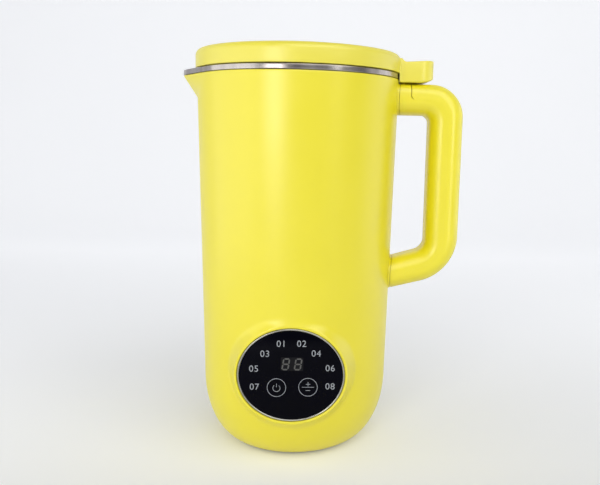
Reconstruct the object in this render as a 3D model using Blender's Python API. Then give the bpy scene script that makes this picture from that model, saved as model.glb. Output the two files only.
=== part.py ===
"""Nut milk maker: a jug with a motor in its base, a heated steel cup and a lift-off lid.

Metres, +Z up. The part stands on z = 0 with its bounding box centred over the origin.
Pieces are modelled about the jug's axis, and one empty carries that axis to its place.
"""
import math

import bmesh
import bpy
from mathutils import Matrix, Vector

# Fits shared by all pieces
CLEARANCE = 0.0003
OVERRUN = 0.006
FLAT_DEG = 0.05
WELD = 0.0000001
JOIN_DEPTH = 0.0012

# Jug body: a tapered drum whose bottom edge is a quarter ellipse
BODY_LOW_RADIUS = 0.0589
BODY_FLARE = 0.0037
BODY_TOP = 0.2302
CORNER_WIDTH = 0.024
CORNER_HEIGHT = 0.0425
SHELL_BOTTOM = 0.001
SHELL_WALL = 0.0024
SHELL_FOOT_WIDTH = 0.0015
SHELL_LIP = 0.0022
BODY_STEPS = 30
CORNER_STEPS = 6

# Pouring beak on the left
SPOUT_REACH = 0.0092
SPOUT_HEIGHT = 0.0155
SPOUT_TIP_DEG = 3.5
SPOUT_SPREAD_DEG = 36
SPOUT_STEPS = 10
SPOUT_RISE_STEPS = 4
SPOUT_EASE_SHARE = 0.15

# Steel cup, rim band and lip
BAND_HEIGHT = 0.0032
BAND_WIDTH = 0.0022
BAND_EDGE = 0.0007
CUP_TOP_GAP = 0.0047
CUP_LOW_GAP = 0.003
CUP_CORNER_RADIUS = 0.012
CUP_WALL = 0.0008
CUP_HOLE_RADIUS = 0.0102
MOUTH_EDGE = 0.0015

# Oval control panel on the front
PANEL_HEIGHT = 0.0574
PANEL_HALF_WIDTH = 0.0313
PANEL_HALF_HEIGHT = 0.0279
PANEL_PROUD = 0.0012
PANEL_LIP = 0.0015
PANEL_FLARE = 0.006
FLARE_EDGE = 0.00012
PANEL_STEPS = 36
FLARE_STEPS = 4
TRIM_WIDTH = 0.0011
TRIM_RECESS = 0.0002
LENS_RECESS = 0.0005
LENS_THICKNESS = 0.002
LEDGE_WIDTH = 0.0024
DISPLAY_WIDTH = 0.0175
DISPLAY_HEIGHT = 0.0118
DISPLAY_DEPTH = 0.005
DISPLAY_RISE = 0.0062
BOARD_THICKNESS = 0.0016
KEY_SPACING = 0.0182
KEY_DROP = 0.0074
KEY_SPRING_RADIUS = 0.0036
KEY_SPRING_TOP_RADIUS = 0.0025
KEY_SPRING_WIRE = 0.0004
KEY_SPRING_TURNS = 2

# Handle: two arms and a grip, outlined by an outer and an inner line
HANDLE_STANDOFF = 0.0409
HANDLE_TOP = 0.2281
HANDLE_FOOT = 0.0984
ARM_HEIGHT = 0.019
GRIP_THICKNESS = 0.0213
LOW_ARM_HEIGHT = 0.0217
LOW_ARM_OUTER_DEG = 13.5
LOW_ARM_INNER_DEG = 15.8
HANDLE_DEPTH = 0.027
SHOULDER_RADIUS = 0.020
ELBOW_RADIUS = 0.0275
INNER_SHOULDER_RADIUS = 0.0045
INNER_ELBOW_RADIUS = 0.0085
HANDLE_SQUARENESS = 2.7
PARTING_INSET = 0.0075
HANDLE_SIDES = 16
HANDLE_ARC_STEPS = 6
HANDLE_SCREW_RADIUS = 0.0016
HANDLE_SCREW_HEAD_RADIUS = 0.0034
HANDLE_SCREW_HEAD = 0.0016
HANDLE_SCREW_GRIP = 0.0066
UPPER_SCREW_DROP = 0.0136
LOWER_SCREW_RISE = 0.0122

# Lid with its tongue over the handle
LID_OVERHANG = 0.0008
LID_SKIRT = 0.0078
LID_EDGE_RADIUS = 0.0036
LID_DOME = 0.0046
LID_WALL = 0.0022
LID_STEPS = 40
TAB_OVERHANG = 0.007
TAB_HALF_WIDTH = 0.0128
TAB_NOSE = 0.0105
TAB_ROOT_FLARE = 0.004
TAB_TOP_DROP = 0.0095
TAB_TOP_RISE = 0.0018
TAB_TOP_FLARE = 0.003
TAB_GAP = 0.0005
TAB_BOTTOM_RISE = 0.0028
LINER_GAP = 0.0055
LINER_WALL = 0.0016
LINER_DEPTH = 0.0075
SEAL_HEIGHT = 0.0032
SEAL_GROOVE = 0.0014
SEAL_GROOVE_LIFT = 0.0016
SEAL_LIP = 0.0009
SEAL_BEAD = 0.0042

# Interlock in the upper arm: plunger, spring and switch
PLUNGER_INSET = 0.0263
PLUNGER_RADIUS = 0.002
PLUNGER_FLANGE_RADIUS = 0.0031
PLUNGER_FLANGE = 0.001
PLUNGER_PIN_RADIUS = 0.001
PLUNGER_TRAVEL = 0.0016
PLUNGER_ROOF = 0.0022
SWITCH_LENGTH = 0.0128
SWITCH_WIDTH = 0.0058
SWITCH_HEIGHT = 0.0056
SWITCH_SINK = 0.0014
PLUNGER_SPRING_WIRE = 0.0003
PLUNGER_SPRING_TURNS = 4

# Base cover, feet and base screws
COVER_THICKNESS = 0.0022
FOOT_RADIUS = 0.005
FOOT_POCKET = 0.0011
FOOT_INSET = 0.0086
VENT_INNER_RADIUS = 0.008
VENT_OUTER_RADIUS = 0.021
VENT_WIDTH = 0.0026
VENT_COUNT = 8
BOSS_INSET = 0.0051
BOSS_RADIUS = 0.0033
BOSS_HEIGHT = 0.012
BOSS_WEB = 0.002
BASE_SCREW_RADIUS = 0.0015
BASE_SCREW_HEAD_RADIUS = 0.0029
BASE_SCREW_HEAD = 0.0011
BASE_SCREW_LENGTH = 0.009

# Rotor, stacked upwards from the base cover
SHAFT_RADIUS = 0.004
SHAFT_END_GAP = 0.0032
FAN_RADIUS = 0.0235
FAN_HEIGHT = 0.009
FAN_PLATE = 0.0012
FAN_HUB_RADIUS = 0.0075
FAN_VANES = 9
FAN_VANE_WIDTH = 0.0014
FAN_GAP = 0.0016
BEARING_RADIUS = 0.011
BEARING_HEIGHT = 0.007
HOUSING_FLOOR = 0.001
HOUSING_WALL = 0.0022
COMMUTATOR_GAP = 0.0014
COMMUTATOR_RADIUS = 0.0112
COMMUTATOR_HEIGHT = 0.009
COMMUTATOR_SLOTS = 10
COMMUTATOR_SLOT_WIDTH = 0.0006
COMMUTATOR_SLOT_DEPTH = 0.0008
CORE_GAP = 0.0052
CORE_HEIGHT = 0.024
ARMATURE_RADIUS = 0.0148
ARMATURE_SLOTS = 10
SLOT_INNER_RADIUS = 0.0088
SLOT_DEPTH = 0.0042
SLOT_WIDTH = 0.0028
SLOT_MOUTH = 0.0012
WINDING_OVERHANG = 0.0040
WINDING_OUTER_RADIUS = 0.0134
WINDING_SHELL_RADIUS = 0.0066

# Stator, brackets and motor bolts
AIR_GAP = 0.0006
STATOR_HALF_WIDTH = 0.027
STATOR_HALF_DEPTH = 0.0235
STATOR_CORNER = 0.006
COIL_RADIUS = 0.0031
COIL_SPREAD = 0.0186
COIL_OFFSET = 0.0088
COIL_BOW = 0.0196
COIL_RISE = 0.0046
COIL_BEND_SHARE = 0.6
COIL_GAP = 0.0008
WINDOW_FLAT = 0.0001
BOLT_SPREAD = 0.0225
BOLT_OFFSET = 0.0178
BOLT_RADIUS = 0.0018
BOLT_HEAD_RADIUS = 0.0034
BOLT_HEAD = 0.0022
BOLT_TUBE_WALL = 0.0013
BRACKET_THICKNESS = 0.003
BRACKET_HALF_WIDTH = 0.0085

# Brushes
BRUSH_HALF_WIDTH = 0.0026
BRUSH_LENGTH = 0.0095
BRUSH_HOLDER_WALL = 0.0013
BRUSH_HOLDER_LENGTH = 0.0135

# Motor carrier and heater under the cup
CARRIER_THICKNESS = 0.0028
CARRIER_INSET = 0.011
CARRIER_POST_INSET = 0.004
CARRIER_POST_RADIUS = 0.0026
CARRIER_POSTS = 3
CARRIER_WINDOW_RADIUS = 0.0062
CARRIER_WINDOW_CIRCLE = 0.0285
HEATER_GAP = 0.0036
HEATER_TUBE_RADIUS = 0.0033
HEATER_RING_INSET = 0.01
HEATER_OPEN_DEG = 62
HEATER_PLATE_INSET = 0.0125
HEATER_PLATE_THICKNESS = 0.003
SENSOR_PLACE = 0.0175
SENSOR_RADIUS = 0.003
SENSOR_HEIGHT = 0.0068
CUTOUT_RADIUS = 0.0072
CUTOUT_HEIGHT = 0.0054

# Shaft seal and blade
SEAT_WALL = 0.0018
SEAT_FLANGE_RADIUS = 0.013
SEAT_FLANGE = 0.0014
SEAT_TAIL = 0.0035
SEAL_TOP_RISE = 0.0018
BLADE_LIFT = 0.0016
BLADE_HUB_RADIUS = 0.0065
BLADE_HUB_HEIGHT = 0.003
BLADE_REACH = 0.0245
BLADE_ROOT_WIDTH = 0.0085
BLADE_TIP_WIDTH = 0.0045
BLADE_THICKNESS = 0.0012
BLADE_UP_RISE = 0.0095
BLADE_DOWN_DROP = 0.0032
BLADE_PITCH_DEG = 14
NUT_RADIUS = 0.0062
NUT_HEIGHT = 0.0052
NUT_DOME_RADIUS = 0.0049
NUT_DOME_RISE = 0.0034
NUT_BORE_DEPTH = 0.0062

# Power board on two ribs of the shell, at the left of the motor
POWER_BOARD_INSET = 0.0159
POWER_BOARD_HALF_WIDTH = 0.024
POWER_BOARD_HEIGHT = 0.042
POWER_BOARD_LIFT = 0.020
RIB_SPREAD = 0.019
RIB_THICKNESS = 0.002
RELAY_SIZE = (0.0095, 0.015, 0.019)
RELAY_OFFSET = -0.011
CAPACITOR_SIZE = (0.0085, 0.016, 0.014)
CAPACITOR_OFFSET = 0.0115
PART_LIFT = 0.012

# Mains inlet low on the back
INLET_HEIGHT = 0.028
INLET_PROUD = 0.001
INLET_HALF_WIDTH = 0.0138
INLET_HALF_HEIGHT = 0.0102
INLET_CORNER = 0.003
INLET_WALL = 0.0019
INLET_DEPTH = 0.0195
INLET_BACK = 0.0026
PIN_SPREAD = 0.007
PIN_RISE = 0.003
PIN_HALF_WIDTH = 0.001
PIN_HALF_HEIGHT = 0.002
PIN_LENGTH = 0.014
PIN_TAIL = 0.005

YELLOW = (0.87, 0.77, 0.045)
STEEL = (0.62, 0.61, 0.59)
BLACK = (0.02, 0.02, 0.022)
COPPER = (0.72, 0.30, 0.12)
GREY = (0.22, 0.22, 0.23)
ZINC = (0.55, 0.56, 0.58)
GREEN = (0.03, 0.17, 0.07)
BEIGE = (0.68, 0.62, 0.48)
SILICONE = (0.75, 0.75, 0.72)


# Widths, heights and places that follow from the sizes above

BODY_TOP_RADIUS = BODY_LOW_RADIUS + BODY_FLARE
LID_RADIUS = BODY_TOP_RADIUS + LID_OVERHANG


def body_radius(height, inset=0.0):
    """Outer radius of the jug at a height, or of the surface a wall's thickness inside it."""
    centre = BODY_LOW_RADIUS - CORNER_WIDTH
    if height < CORNER_HEIGHT:
        drop = min(1.0, (CORNER_HEIGHT - height) / (CORNER_HEIGHT - inset))
        return centre + (CORNER_WIDTH - inset) * math.sqrt(1.0 - drop * drop)
    rise = (height - CORNER_HEIGHT) / (BODY_TOP - CORNER_HEIGHT)
    return BODY_LOW_RADIUS + (BODY_TOP_RADIUS - BODY_LOW_RADIUS) * rise - inset


BASE_OPENING_RADIUS = body_radius(SHELL_BOTTOM) - SHELL_FOOT_WIDTH
FOOT_CIRCLE = BASE_OPENING_RADIUS - FOOT_INSET
BOSS_CIRCLE = BASE_OPENING_RADIUS - BOSS_INSET
CUP_TOP_RADIUS = BODY_TOP_RADIUS - SHELL_WALL - CUP_TOP_GAP
CUP_LOW_RADIUS = BODY_LOW_RADIUS - SHELL_WALL - CUP_LOW_GAP
LINER_RADIUS = CUP_TOP_RADIUS - LINER_GAP
CARRIER_RADIUS = CUP_LOW_RADIUS - CARRIER_INSET
CARRIER_POST_CIRCLE = CARRIER_RADIUS - CARRIER_POST_INSET
HEATER_PLATE_RADIUS = CUP_LOW_RADIUS - HEATER_PLATE_INSET
HEATER_RING_RADIUS = HEATER_PLATE_RADIUS - HEATER_RING_INSET
POWER_BOARD_PLACE = BODY_LOW_RADIUS - POWER_BOARD_INSET
HANDLE_REACH = BODY_TOP_RADIUS + HANDLE_STANDOFF
PLUNGER_PLACE = HANDLE_REACH - PLUNGER_INSET
PARTING_REACH = PLUNGER_PLACE - PARTING_INSET
TAB_REACH = PLUNGER_PLACE + TAB_OVERHANG
JUG_AXIS_X = (BODY_TOP_RADIUS + SPOUT_REACH - HANDLE_REACH) / 2
BASE_TOP = SHELL_BOTTOM + COVER_THICKNESS
SHAFT_LOW = BASE_TOP + SHAFT_END_GAP
FAN_LOW = SHAFT_LOW + CLEARANCE
FAN_TOP = FAN_LOW + FAN_HEIGHT
LOW_PLATE = FAN_TOP + FAN_GAP
LOW_BEARING = LOW_PLATE + HOUSING_FLOOR + CLEARANCE
LOW_BEARING_TOP = LOW_BEARING + BEARING_HEIGHT
COMMUTATOR_LOW = LOW_BEARING_TOP + COMMUTATOR_GAP
COMMUTATOR_TOP = COMMUTATOR_LOW + COMMUTATOR_HEIGHT
CORE_LOW = COMMUTATOR_TOP + CORE_GAP
CORE_TOP = CORE_LOW + CORE_HEIGHT
TOP_PLATE = CORE_TOP + COIL_RISE + COIL_RADIUS + COIL_GAP
TOP_BEARING = TOP_PLATE + HOUSING_FLOOR + CLEARANCE
CARRIER_LOW = TOP_PLATE + BRACKET_THICKNESS + CLEARANCE
CARRIER_TOP = CARRIER_LOW + CARRIER_THICKNESS
TUBE_LOW = CARRIER_TOP + HEATER_GAP
TUBE_TOP = TUBE_LOW + 2 * HEATER_TUBE_RADIUS
HEATER_LOW = TUBE_TOP + CLEARANCE
HEATER_TOP = HEATER_LOW + HEATER_PLATE_THICKNESS
CUP_UNDERSIDE = HEATER_TOP + CLEARANCE
CUP_FLOOR = CUP_UNDERSIDE + CUP_WALL
SEAT_TOP = CUP_FLOOR + CLEARANCE + SEAT_FLANGE
SEAL_TOP = SEAT_TOP + SEAL_TOP_RISE
BLADE_LOW = SEAL_TOP + BLADE_LIFT
BLADE_TOP = BLADE_LOW + BLADE_HUB_HEIGHT
NUT_LOW = BLADE_TOP + CLEARANCE
SHAFT_TOP = NUT_LOW + NUT_BORE_DEPTH - CLEARANCE

RIM_LOW = BODY_TOP + CLEARANCE
RIM_TOP = RIM_LOW + BAND_HEIGHT
LID_LOW = RIM_TOP + CLEARANCE
LID_SHOULDER = LID_LOW + LID_SKIRT
LID_EDGE_TOP = LID_SHOULDER + LID_EDGE_RADIUS
LID_TOP = LID_EDGE_TOP + LID_DOME

LIP_FRONT = body_radius(PANEL_HEIGHT) + PANEL_PROUD
LENS_FRONT = LIP_FRONT - LENS_RECESS
LENS_BACK = LENS_FRONT - LENS_THICKNESS
DISPLAY_FRONT = LENS_BACK - CLEARANCE
DISPLAY_BACK = DISPLAY_FRONT - DISPLAY_DEPTH
BOARD_FRONT = DISPLAY_BACK - CLEARANCE
BOARD_BACK = BOARD_FRONT - BOARD_THICKNESS

HANDLE_ROOT = body_radius(HANDLE_FOOT) - SHELL_WALL / 2
ARM_MIDDLE = HANDLE_TOP - ARM_HEIGHT / 2
PLUNGER_TOP = HANDLE_TOP + TAB_GAP
FLANGE_TOP = HANDLE_TOP - PLUNGER_ROOF - CLEARANCE - PLUNGER_TRAVEL
FLANGE_LOW = FLANGE_TOP - PLUNGER_FLANGE
SWITCH_TOP = ARM_MIDDLE - SWITCH_SINK
SWITCH_LOW = SWITCH_TOP - SWITCH_HEIGHT
INLET_FRONT = body_radius(INLET_HEIGHT) + INLET_PROUD


# Modelling helpers

def material(name, colour, roughness, metallic=0.0):
    """A Principled material, made once for each name."""
    existing = bpy.data.materials.get(name)
    if existing:
        return existing
    made = bpy.data.materials.new(name)
    made.use_nodes = True
    shader = made.node_tree.nodes["Principled BSDF"]
    shader.inputs["Base Color"].default_value = (*colour, 1.0)
    shader.inputs["Roughness"].default_value = roughness
    shader.inputs["Metallic"].default_value = metallic
    return made


def empty(name, place, parent=None):
    """An empty that carries pieces, or marks a joint's axis."""
    holder = bpy.data.objects.new(name, None)
    holder.location = place
    holder.parent = parent
    bpy.context.scene.collection.objects.link(holder)
    return holder


def add_mesh(name, bm, parent, place=(0, 0, 0), turn=0.0):
    """Turn a bmesh into an object under a parent, with its normals pointing out."""
    bmesh.ops.recalc_face_normals(bm, faces=bm.faces)
    mesh = bpy.data.meshes.new(name)
    bm.to_mesh(mesh)
    bm.free()
    mesh.shade_smooth()
    mesh.set_sharp_from_angle(angle=math.radians(35))
    made = bpy.data.objects.new(name, mesh)
    made.parent = parent
    made.location = place
    made.rotation_euler[2] = turn
    bpy.context.scene.collection.objects.link(made)
    return made


def piece(name, bm, look, parent, place=(0, 0, 0), turn=0.0):
    """One named sub-part with its material."""
    made = add_mesh(name, bm, parent, place, turn)
    made.data.materials.append(look)
    return made


def tool(name, bm, parent, place=(0, 0, 0), turn=0.0):
    """A cutter or a joining body, which is no sub-part itself."""
    made = add_mesh(name, bm, parent, place, turn)
    made.hide_render = True
    made.display_type = "WIRE"
    return made


def combine(target, other, operation, crossing=False):
    """Cut with, join or keep what is common with another body, whose own bodies may be crossing."""
    change = target.modifiers.new(other.name, "BOOLEAN")
    change.operation = operation
    change.solver = "EXACT"
    change.use_self = crossing
    change.object = other


def lathe(profile, steps):
    """Spin a profile of (radius, height) points about Z. Points on the axis close into a pole."""
    bm = bmesh.new()
    verts = [bm.verts.new((radius, 0, height)) for radius, height in profile]
    on_axis = profile[0][0] == 0 and profile[-1][0] == 0
    pairs = list(zip(verts, verts[1:]))
    if not on_axis:
        pairs.append((verts[-1], verts[0]))
    edges = [bm.edges.new(pair) for pair in pairs]
    bmesh.ops.spin(bm, geom=verts + edges, cent=(0, 0, 0), axis=(0, 0, 1),
                   angle=math.tau, steps=steps, use_merge=True)
    bmesh.ops.remove_doubles(bm, verts=bm.verts, dist=WELD)
    return bm


def lay(axis, across, up, along):
    """Place a point of an outline on the plane square to an axis."""
    if axis == "X":
        return (along, across, up)
    if axis == "Y":
        return (across, along, up)
    return (across, up, along)


def prism(outline, low, high, axis="Z"):
    """Extrude an outline along an axis."""
    bm = bmesh.new()
    face = bm.faces.new([bm.verts.new(lay(axis, across, up, low)) for across, up in outline])
    grown = bmesh.ops.extrude_face_region(bm, geom=[face])
    moved = [item for item in grown["geom"] if isinstance(item, bmesh.types.BMVert)]
    bmesh.ops.translate(bm, verts=moved, vec=Vector(lay(axis, 0, 0, high - low)))
    return bm


def loft(rings, closed=False):
    """Join rings of equal count by faces, with caps unless the rings close on themselves."""
    bm = bmesh.new()
    rows = [[bm.verts.new(point) for point in ring] for ring in rings]
    spans = list(zip(rows, rows[1:]))
    if closed:
        spans.append((rows[-1], rows[0]))
    for lower, upper in spans:
        for i in range(len(lower)):
            j = (i + 1) % len(lower)
            bm.faces.new((lower[i], lower[j], upper[j], upper[i]))
    if not closed:
        bm.faces.new(rows[0])
        bm.faces.new(rows[-1])
    bmesh.ops.connect_verts_nonplanar(bm, angle_limit=math.radians(FLAT_DEG), faces=bm.faces)
    return bm


def gather(parts):
    """Put several closed bodies into one bmesh, for a tool that cuts or joins them all."""
    whole = bmesh.new()
    for part in parts:
        scratch = bpy.data.meshes.new("scratch")
        part.to_mesh(scratch)
        part.free()
        whole.from_mesh(scratch)
        bpy.data.meshes.remove(scratch)
    return whole


def moved(bm, place=(0, 0, 0), turn=0.0):
    """Turn a bmesh about Z, then shift it."""
    matrix = Matrix.Translation(place) @ Matrix.Rotation(turn, 4, "Z")
    bmesh.ops.transform(bm, matrix=matrix, verts=bm.verts)
    return bm


def cylinder(radius, low, high, steps=16):
    """A round bar on the Z axis."""
    return lathe([(0, low), (radius, low), (radius, high), (0, high)], steps)


def tube(outer, inner, low, high, steps=16):
    """A round sleeve on the Z axis."""
    return lathe([(inner, low), (outer, low), (outer, high), (inner, high)], steps)


def oval(half_width, half_height, centre=(0, 0), steps=PANEL_STEPS):
    """An ellipse's outline."""
    turns = [math.tau * i / steps for i in range(steps)]
    return [(centre[0] + half_width * math.cos(t), centre[1] + half_height * math.sin(t)) for t in turns]


def rounded(half_width, half_height, corner, centre=(0, 0), steps=3):
    """A rectangle's outline with round corners."""
    points = []
    for quarter, (side, end) in enumerate(((1, 1), (-1, 1), (-1, -1), (1, -1))):
        x = centre[0] + side * (half_width - corner)
        y = centre[1] + end * (half_height - corner)
        for i in range(steps + 1):
            turn = math.radians(90 * (quarter + i / steps))
            points.append((x + corner * math.cos(turn), y + corner * math.sin(turn)))
    return points


def rectangle(half_width, half_height, centre=(0, 0)):
    """A rectangle's outline."""
    x, y = centre
    return [(x - half_width, y - half_height), (x + half_width, y - half_height),
            (x + half_width, y + half_height), (x - half_width, y + half_height)]


def wire(name, points, radius, look, parent, cyclic=False, roundness=1):
    """A tube along a path of points."""
    curve = bpy.data.curves.new(name, "CURVE")
    curve.dimensions = "3D"
    curve.bevel_depth = radius
    curve.bevel_resolution = roundness
    curve.use_fill_caps = True
    path = curve.splines.new("POLY")
    path.points.add(len(points) - 1)
    for knot, point in zip(path.points, points):
        knot.co = (*point, 1.0)
    path.use_cyclic_u = cyclic
    made = bpy.data.objects.new(name, curve)
    made.data.materials.append(look)
    made.parent = parent
    bpy.context.scene.collection.objects.link(made)
    return made


# Jug body

def spout_reach(height):
    """How far the beak stands out of the round body at a height."""
    rise = (height - (BODY_TOP - SPOUT_HEIGHT)) / SPOUT_HEIGHT
    if rise <= 0:
        return 0.0
    rise = min(rise, 1.0)
    ease = SPOUT_EASE_SHARE
    eased = rise * rise / (2 * ease) if rise < ease else rise - ease / 2
    return SPOUT_REACH * eased / (1 - ease / 2)


def plan_radius(turn, radius, reach):
    """Radius of a round body with a beak: two tangents that meet in a rounded tip."""
    if reach <= 0:
        return radius
    softness = math.radians(SPOUT_TIP_DEG)
    spread = math.acos(radius / (radius + reach)) + softness
    away = math.hypot(turn, softness)
    return radius / math.cos(spread - away) if away < spread else radius


def body_turns():
    """Angles round the body from the beak's tip, closer together along the beak."""
    spread = math.radians(SPOUT_SPREAD_DEG)
    near = [spread * (2 * i / SPOUT_STEPS - 1) for i in range(SPOUT_STEPS)]
    rest = math.tau - 2 * spread
    return near + [spread + rest * i / BODY_STEPS for i in range(BODY_STEPS)]


def body_ring(radius, height, reach):
    """One ring of the body, with the beak on the left."""
    ring = []
    for turn in body_turns():
        away = turn if turn <= math.pi else turn - math.tau
        wide = plan_radius(away, radius, reach)
        ring.append((-wide * math.cos(turn), -wide * math.sin(turn), height))
    return ring


def corner_heights(low, inset, steps):
    """Heights up the rounded bottom edge, evenly spread round its ellipse."""
    tall = CORNER_HEIGHT - inset
    start = math.asin(min(1.0, (CORNER_HEIGHT - low) / tall))
    turns = [start * (1 - i / steps) for i in range(steps + 1)]
    return [CORNER_HEIGHT - tall * math.sin(turn) for turn in turns]


def beak_heights():
    """Heights up the beak."""
    foot = BODY_TOP - SPOUT_HEIGHT
    return [foot + SPOUT_HEIGHT * i / SPOUT_RISE_STEPS for i in range(SPOUT_RISE_STEPS + 1)]


def body_rings(inset, low, steps):
    """Rings of the jug's outer form, or of its cavity, up to the top of the shell."""
    heights = corner_heights(low, inset, steps) + beak_heights()
    return [body_ring(body_radius(z, inset), z, spout_reach(z)) for z in heights]


def screw_bosses():
    """Three bosses for the base screws, each on a web that runs out to the wall."""
    low = BASE_TOP + CLEARANCE
    bosses = []
    for place, turn in base_screw_places():
        bosses.append(moved(cylinder(BOSS_RADIUS, low, low + BOSS_HEIGHT), place))
        web = prism(rectangle((BODY_LOW_RADIUS - BOSS_CIRCLE) / 2, BOSS_WEB / 2,
                              ((BODY_LOW_RADIUS + BOSS_CIRCLE) / 2, 0)),
                    low + BOSS_WEB, low + BOSS_HEIGHT - BOSS_WEB)
        bosses.append(moved(web, turn=turn))
    return bosses


def base_screw_places():
    """Places and directions of the three base screws."""
    places = []
    for i in range(3):
        turn = math.radians(-90 + 120 * i)
        places.append(((BOSS_CIRCLE * math.cos(turn), BOSS_CIRCLE * math.sin(turn), 0), turn))
    return places


def board_ribs():
    """Two ribs inside the left wall, which the power board rests against."""
    face = POWER_BOARD_PLACE + BOARD_THICKNESS + CLEARANCE
    low = BASE_TOP + POWER_BOARD_LIFT
    ribs = []
    for side in (-1, 1):
        outline = rectangle((BODY_LOW_RADIUS - face) / 2, RIB_THICKNESS / 2,
                            (-(BODY_LOW_RADIUS + face) / 2, side * RIB_SPREAD))
        ribs.append(prism(outline, low, low + POWER_BOARD_HEIGHT))
    return ribs


def panel_boss():
    """The oval boss round the panel, whose hollow flare runs out onto the drum."""
    half_width = PANEL_HALF_WIDTH + PANEL_LIP
    half_height = PANEL_HALF_HEIGHT + PANEL_LIP
    rings = []
    for i in range(FLARE_STEPS + 1):
        share = i / FLARE_STEPS
        grown = PANEL_FLARE * share
        ring = []
        for x, z in oval(half_width + grown, half_height + grown, (0, PANEL_HEIGHT)):
            surface = math.sqrt(body_radius(z) ** 2 - x * x)
            proud = FLARE_EDGE + (LIP_FRONT - surface - FLARE_EDGE) * (1 - share) ** 2
            ring.append((x, -(surface + proud), z))
        rings.append(ring)
    deep = LIP_FRONT / 2
    rings.append([(x, -deep, z) for x, _, z in rings[-1]])
    return loft(rings)


def panel_prism(shrink, front, back):
    """An oval column square to the panel, smaller than the trim ring by a width."""
    outline = oval(PANEL_HALF_WIDTH - shrink, PANEL_HALF_HEIGHT - shrink, (0, PANEL_HEIGHT))
    return prism(outline, -front, -back, "Y")


def build_shell(jug, yellow):
    """The drum with its beak, panel boss, inlet hole and inner ribs."""
    shell = piece("outer_shell", loft(body_rings(0.0, SHELL_BOTTOM, CORNER_STEPS)), yellow, jug)
    combine(shell, tool("boss_form", panel_boss(), jug), "UNION")

    lip_top = SHELL_BOTTOM + SHELL_LIP
    rings = [body_ring(BASE_OPENING_RADIUS, z, 0) for z in (SHELL_BOTTOM - OVERRUN, lip_top)]
    rings += body_rings(SHELL_WALL, lip_top, CORNER_STEPS // 2)
    over = BODY_TOP + OVERRUN
    rings.append(body_ring(body_radius(BODY_TOP, SHELL_WALL), over, SPOUT_REACH))
    cavity = tool("cavity_form", loft(rings), jug)
    combine(cavity, tool("rib_forms", gather(screw_bosses() + board_ribs()), jug), "DIFFERENCE", True)
    combine(shell, cavity, "DIFFERENCE")

    combine(shell, tool("lens_pocket", panel_prism(-CLEARANCE, LIP_FRONT + OVERRUN, DISPLAY_FRONT), jug),
            "DIFFERENCE")
    combine(shell, tool("panel_window", panel_prism(LEDGE_WIDTH, LIP_FRONT, DISPLAY_BACK - OVERRUN), jug),
            "DIFFERENCE")
    pocket = panel_prism(TRIM_WIDTH - CLEARANCE, DISPLAY_BACK, LIP_FRONT / 2)
    combine(shell, tool("board_pocket", pocket, jug), "DIFFERENCE")

    hole = rounded(INLET_HALF_WIDTH + CLEARANCE, INLET_HALF_HEIGHT + CLEARANCE, INLET_CORNER,
                   (0, INLET_HEIGHT))
    combine(shell, tool("inlet_hole", prism(hole, INLET_FRONT - INLET_DEPTH, INLET_FRONT + OVERRUN, "Y"),
                        jug), "DIFFERENCE")

    holes = [cylinder(HANDLE_SCREW_RADIUS + CLEARANCE, -OVERRUN, OVERRUN) for _ in handle_screw_heights()]
    for hole, height in zip(holes, handle_screw_heights()):
        lie_along_x(hole, (body_radius(height), 0, height))
    combine(shell, tool("handle_holes", gather(holes), jug), "DIFFERENCE")

    pilots = [moved(cylinder(BASE_SCREW_RADIUS + CLEARANCE, BASE_TOP - CLEARANCE,
                             SHELL_BOTTOM + BASE_SCREW_LENGTH + CLEARANCE), place)
              for place, _ in base_screw_places()]
    combine(shell, tool("base_pilots", gather(pilots), jug), "DIFFERENCE")


def lie_along_x(bm, place):
    """Lay a bar that was made along Z along +X, then shift it."""
    matrix = Matrix.Translation(place) @ Matrix.Rotation(math.radians(90), 4, "Y")
    bmesh.ops.transform(bm, matrix=matrix, verts=bm.verts)
    return bm


def cup_radius(height):
    """Inner radius of the cup's wall."""
    rise = (height - CUP_FLOOR) / (RIM_LOW - CUP_FLOOR)
    return CUP_LOW_RADIUS + (CUP_TOP_RADIUS - CUP_LOW_RADIUS) * rise


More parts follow.
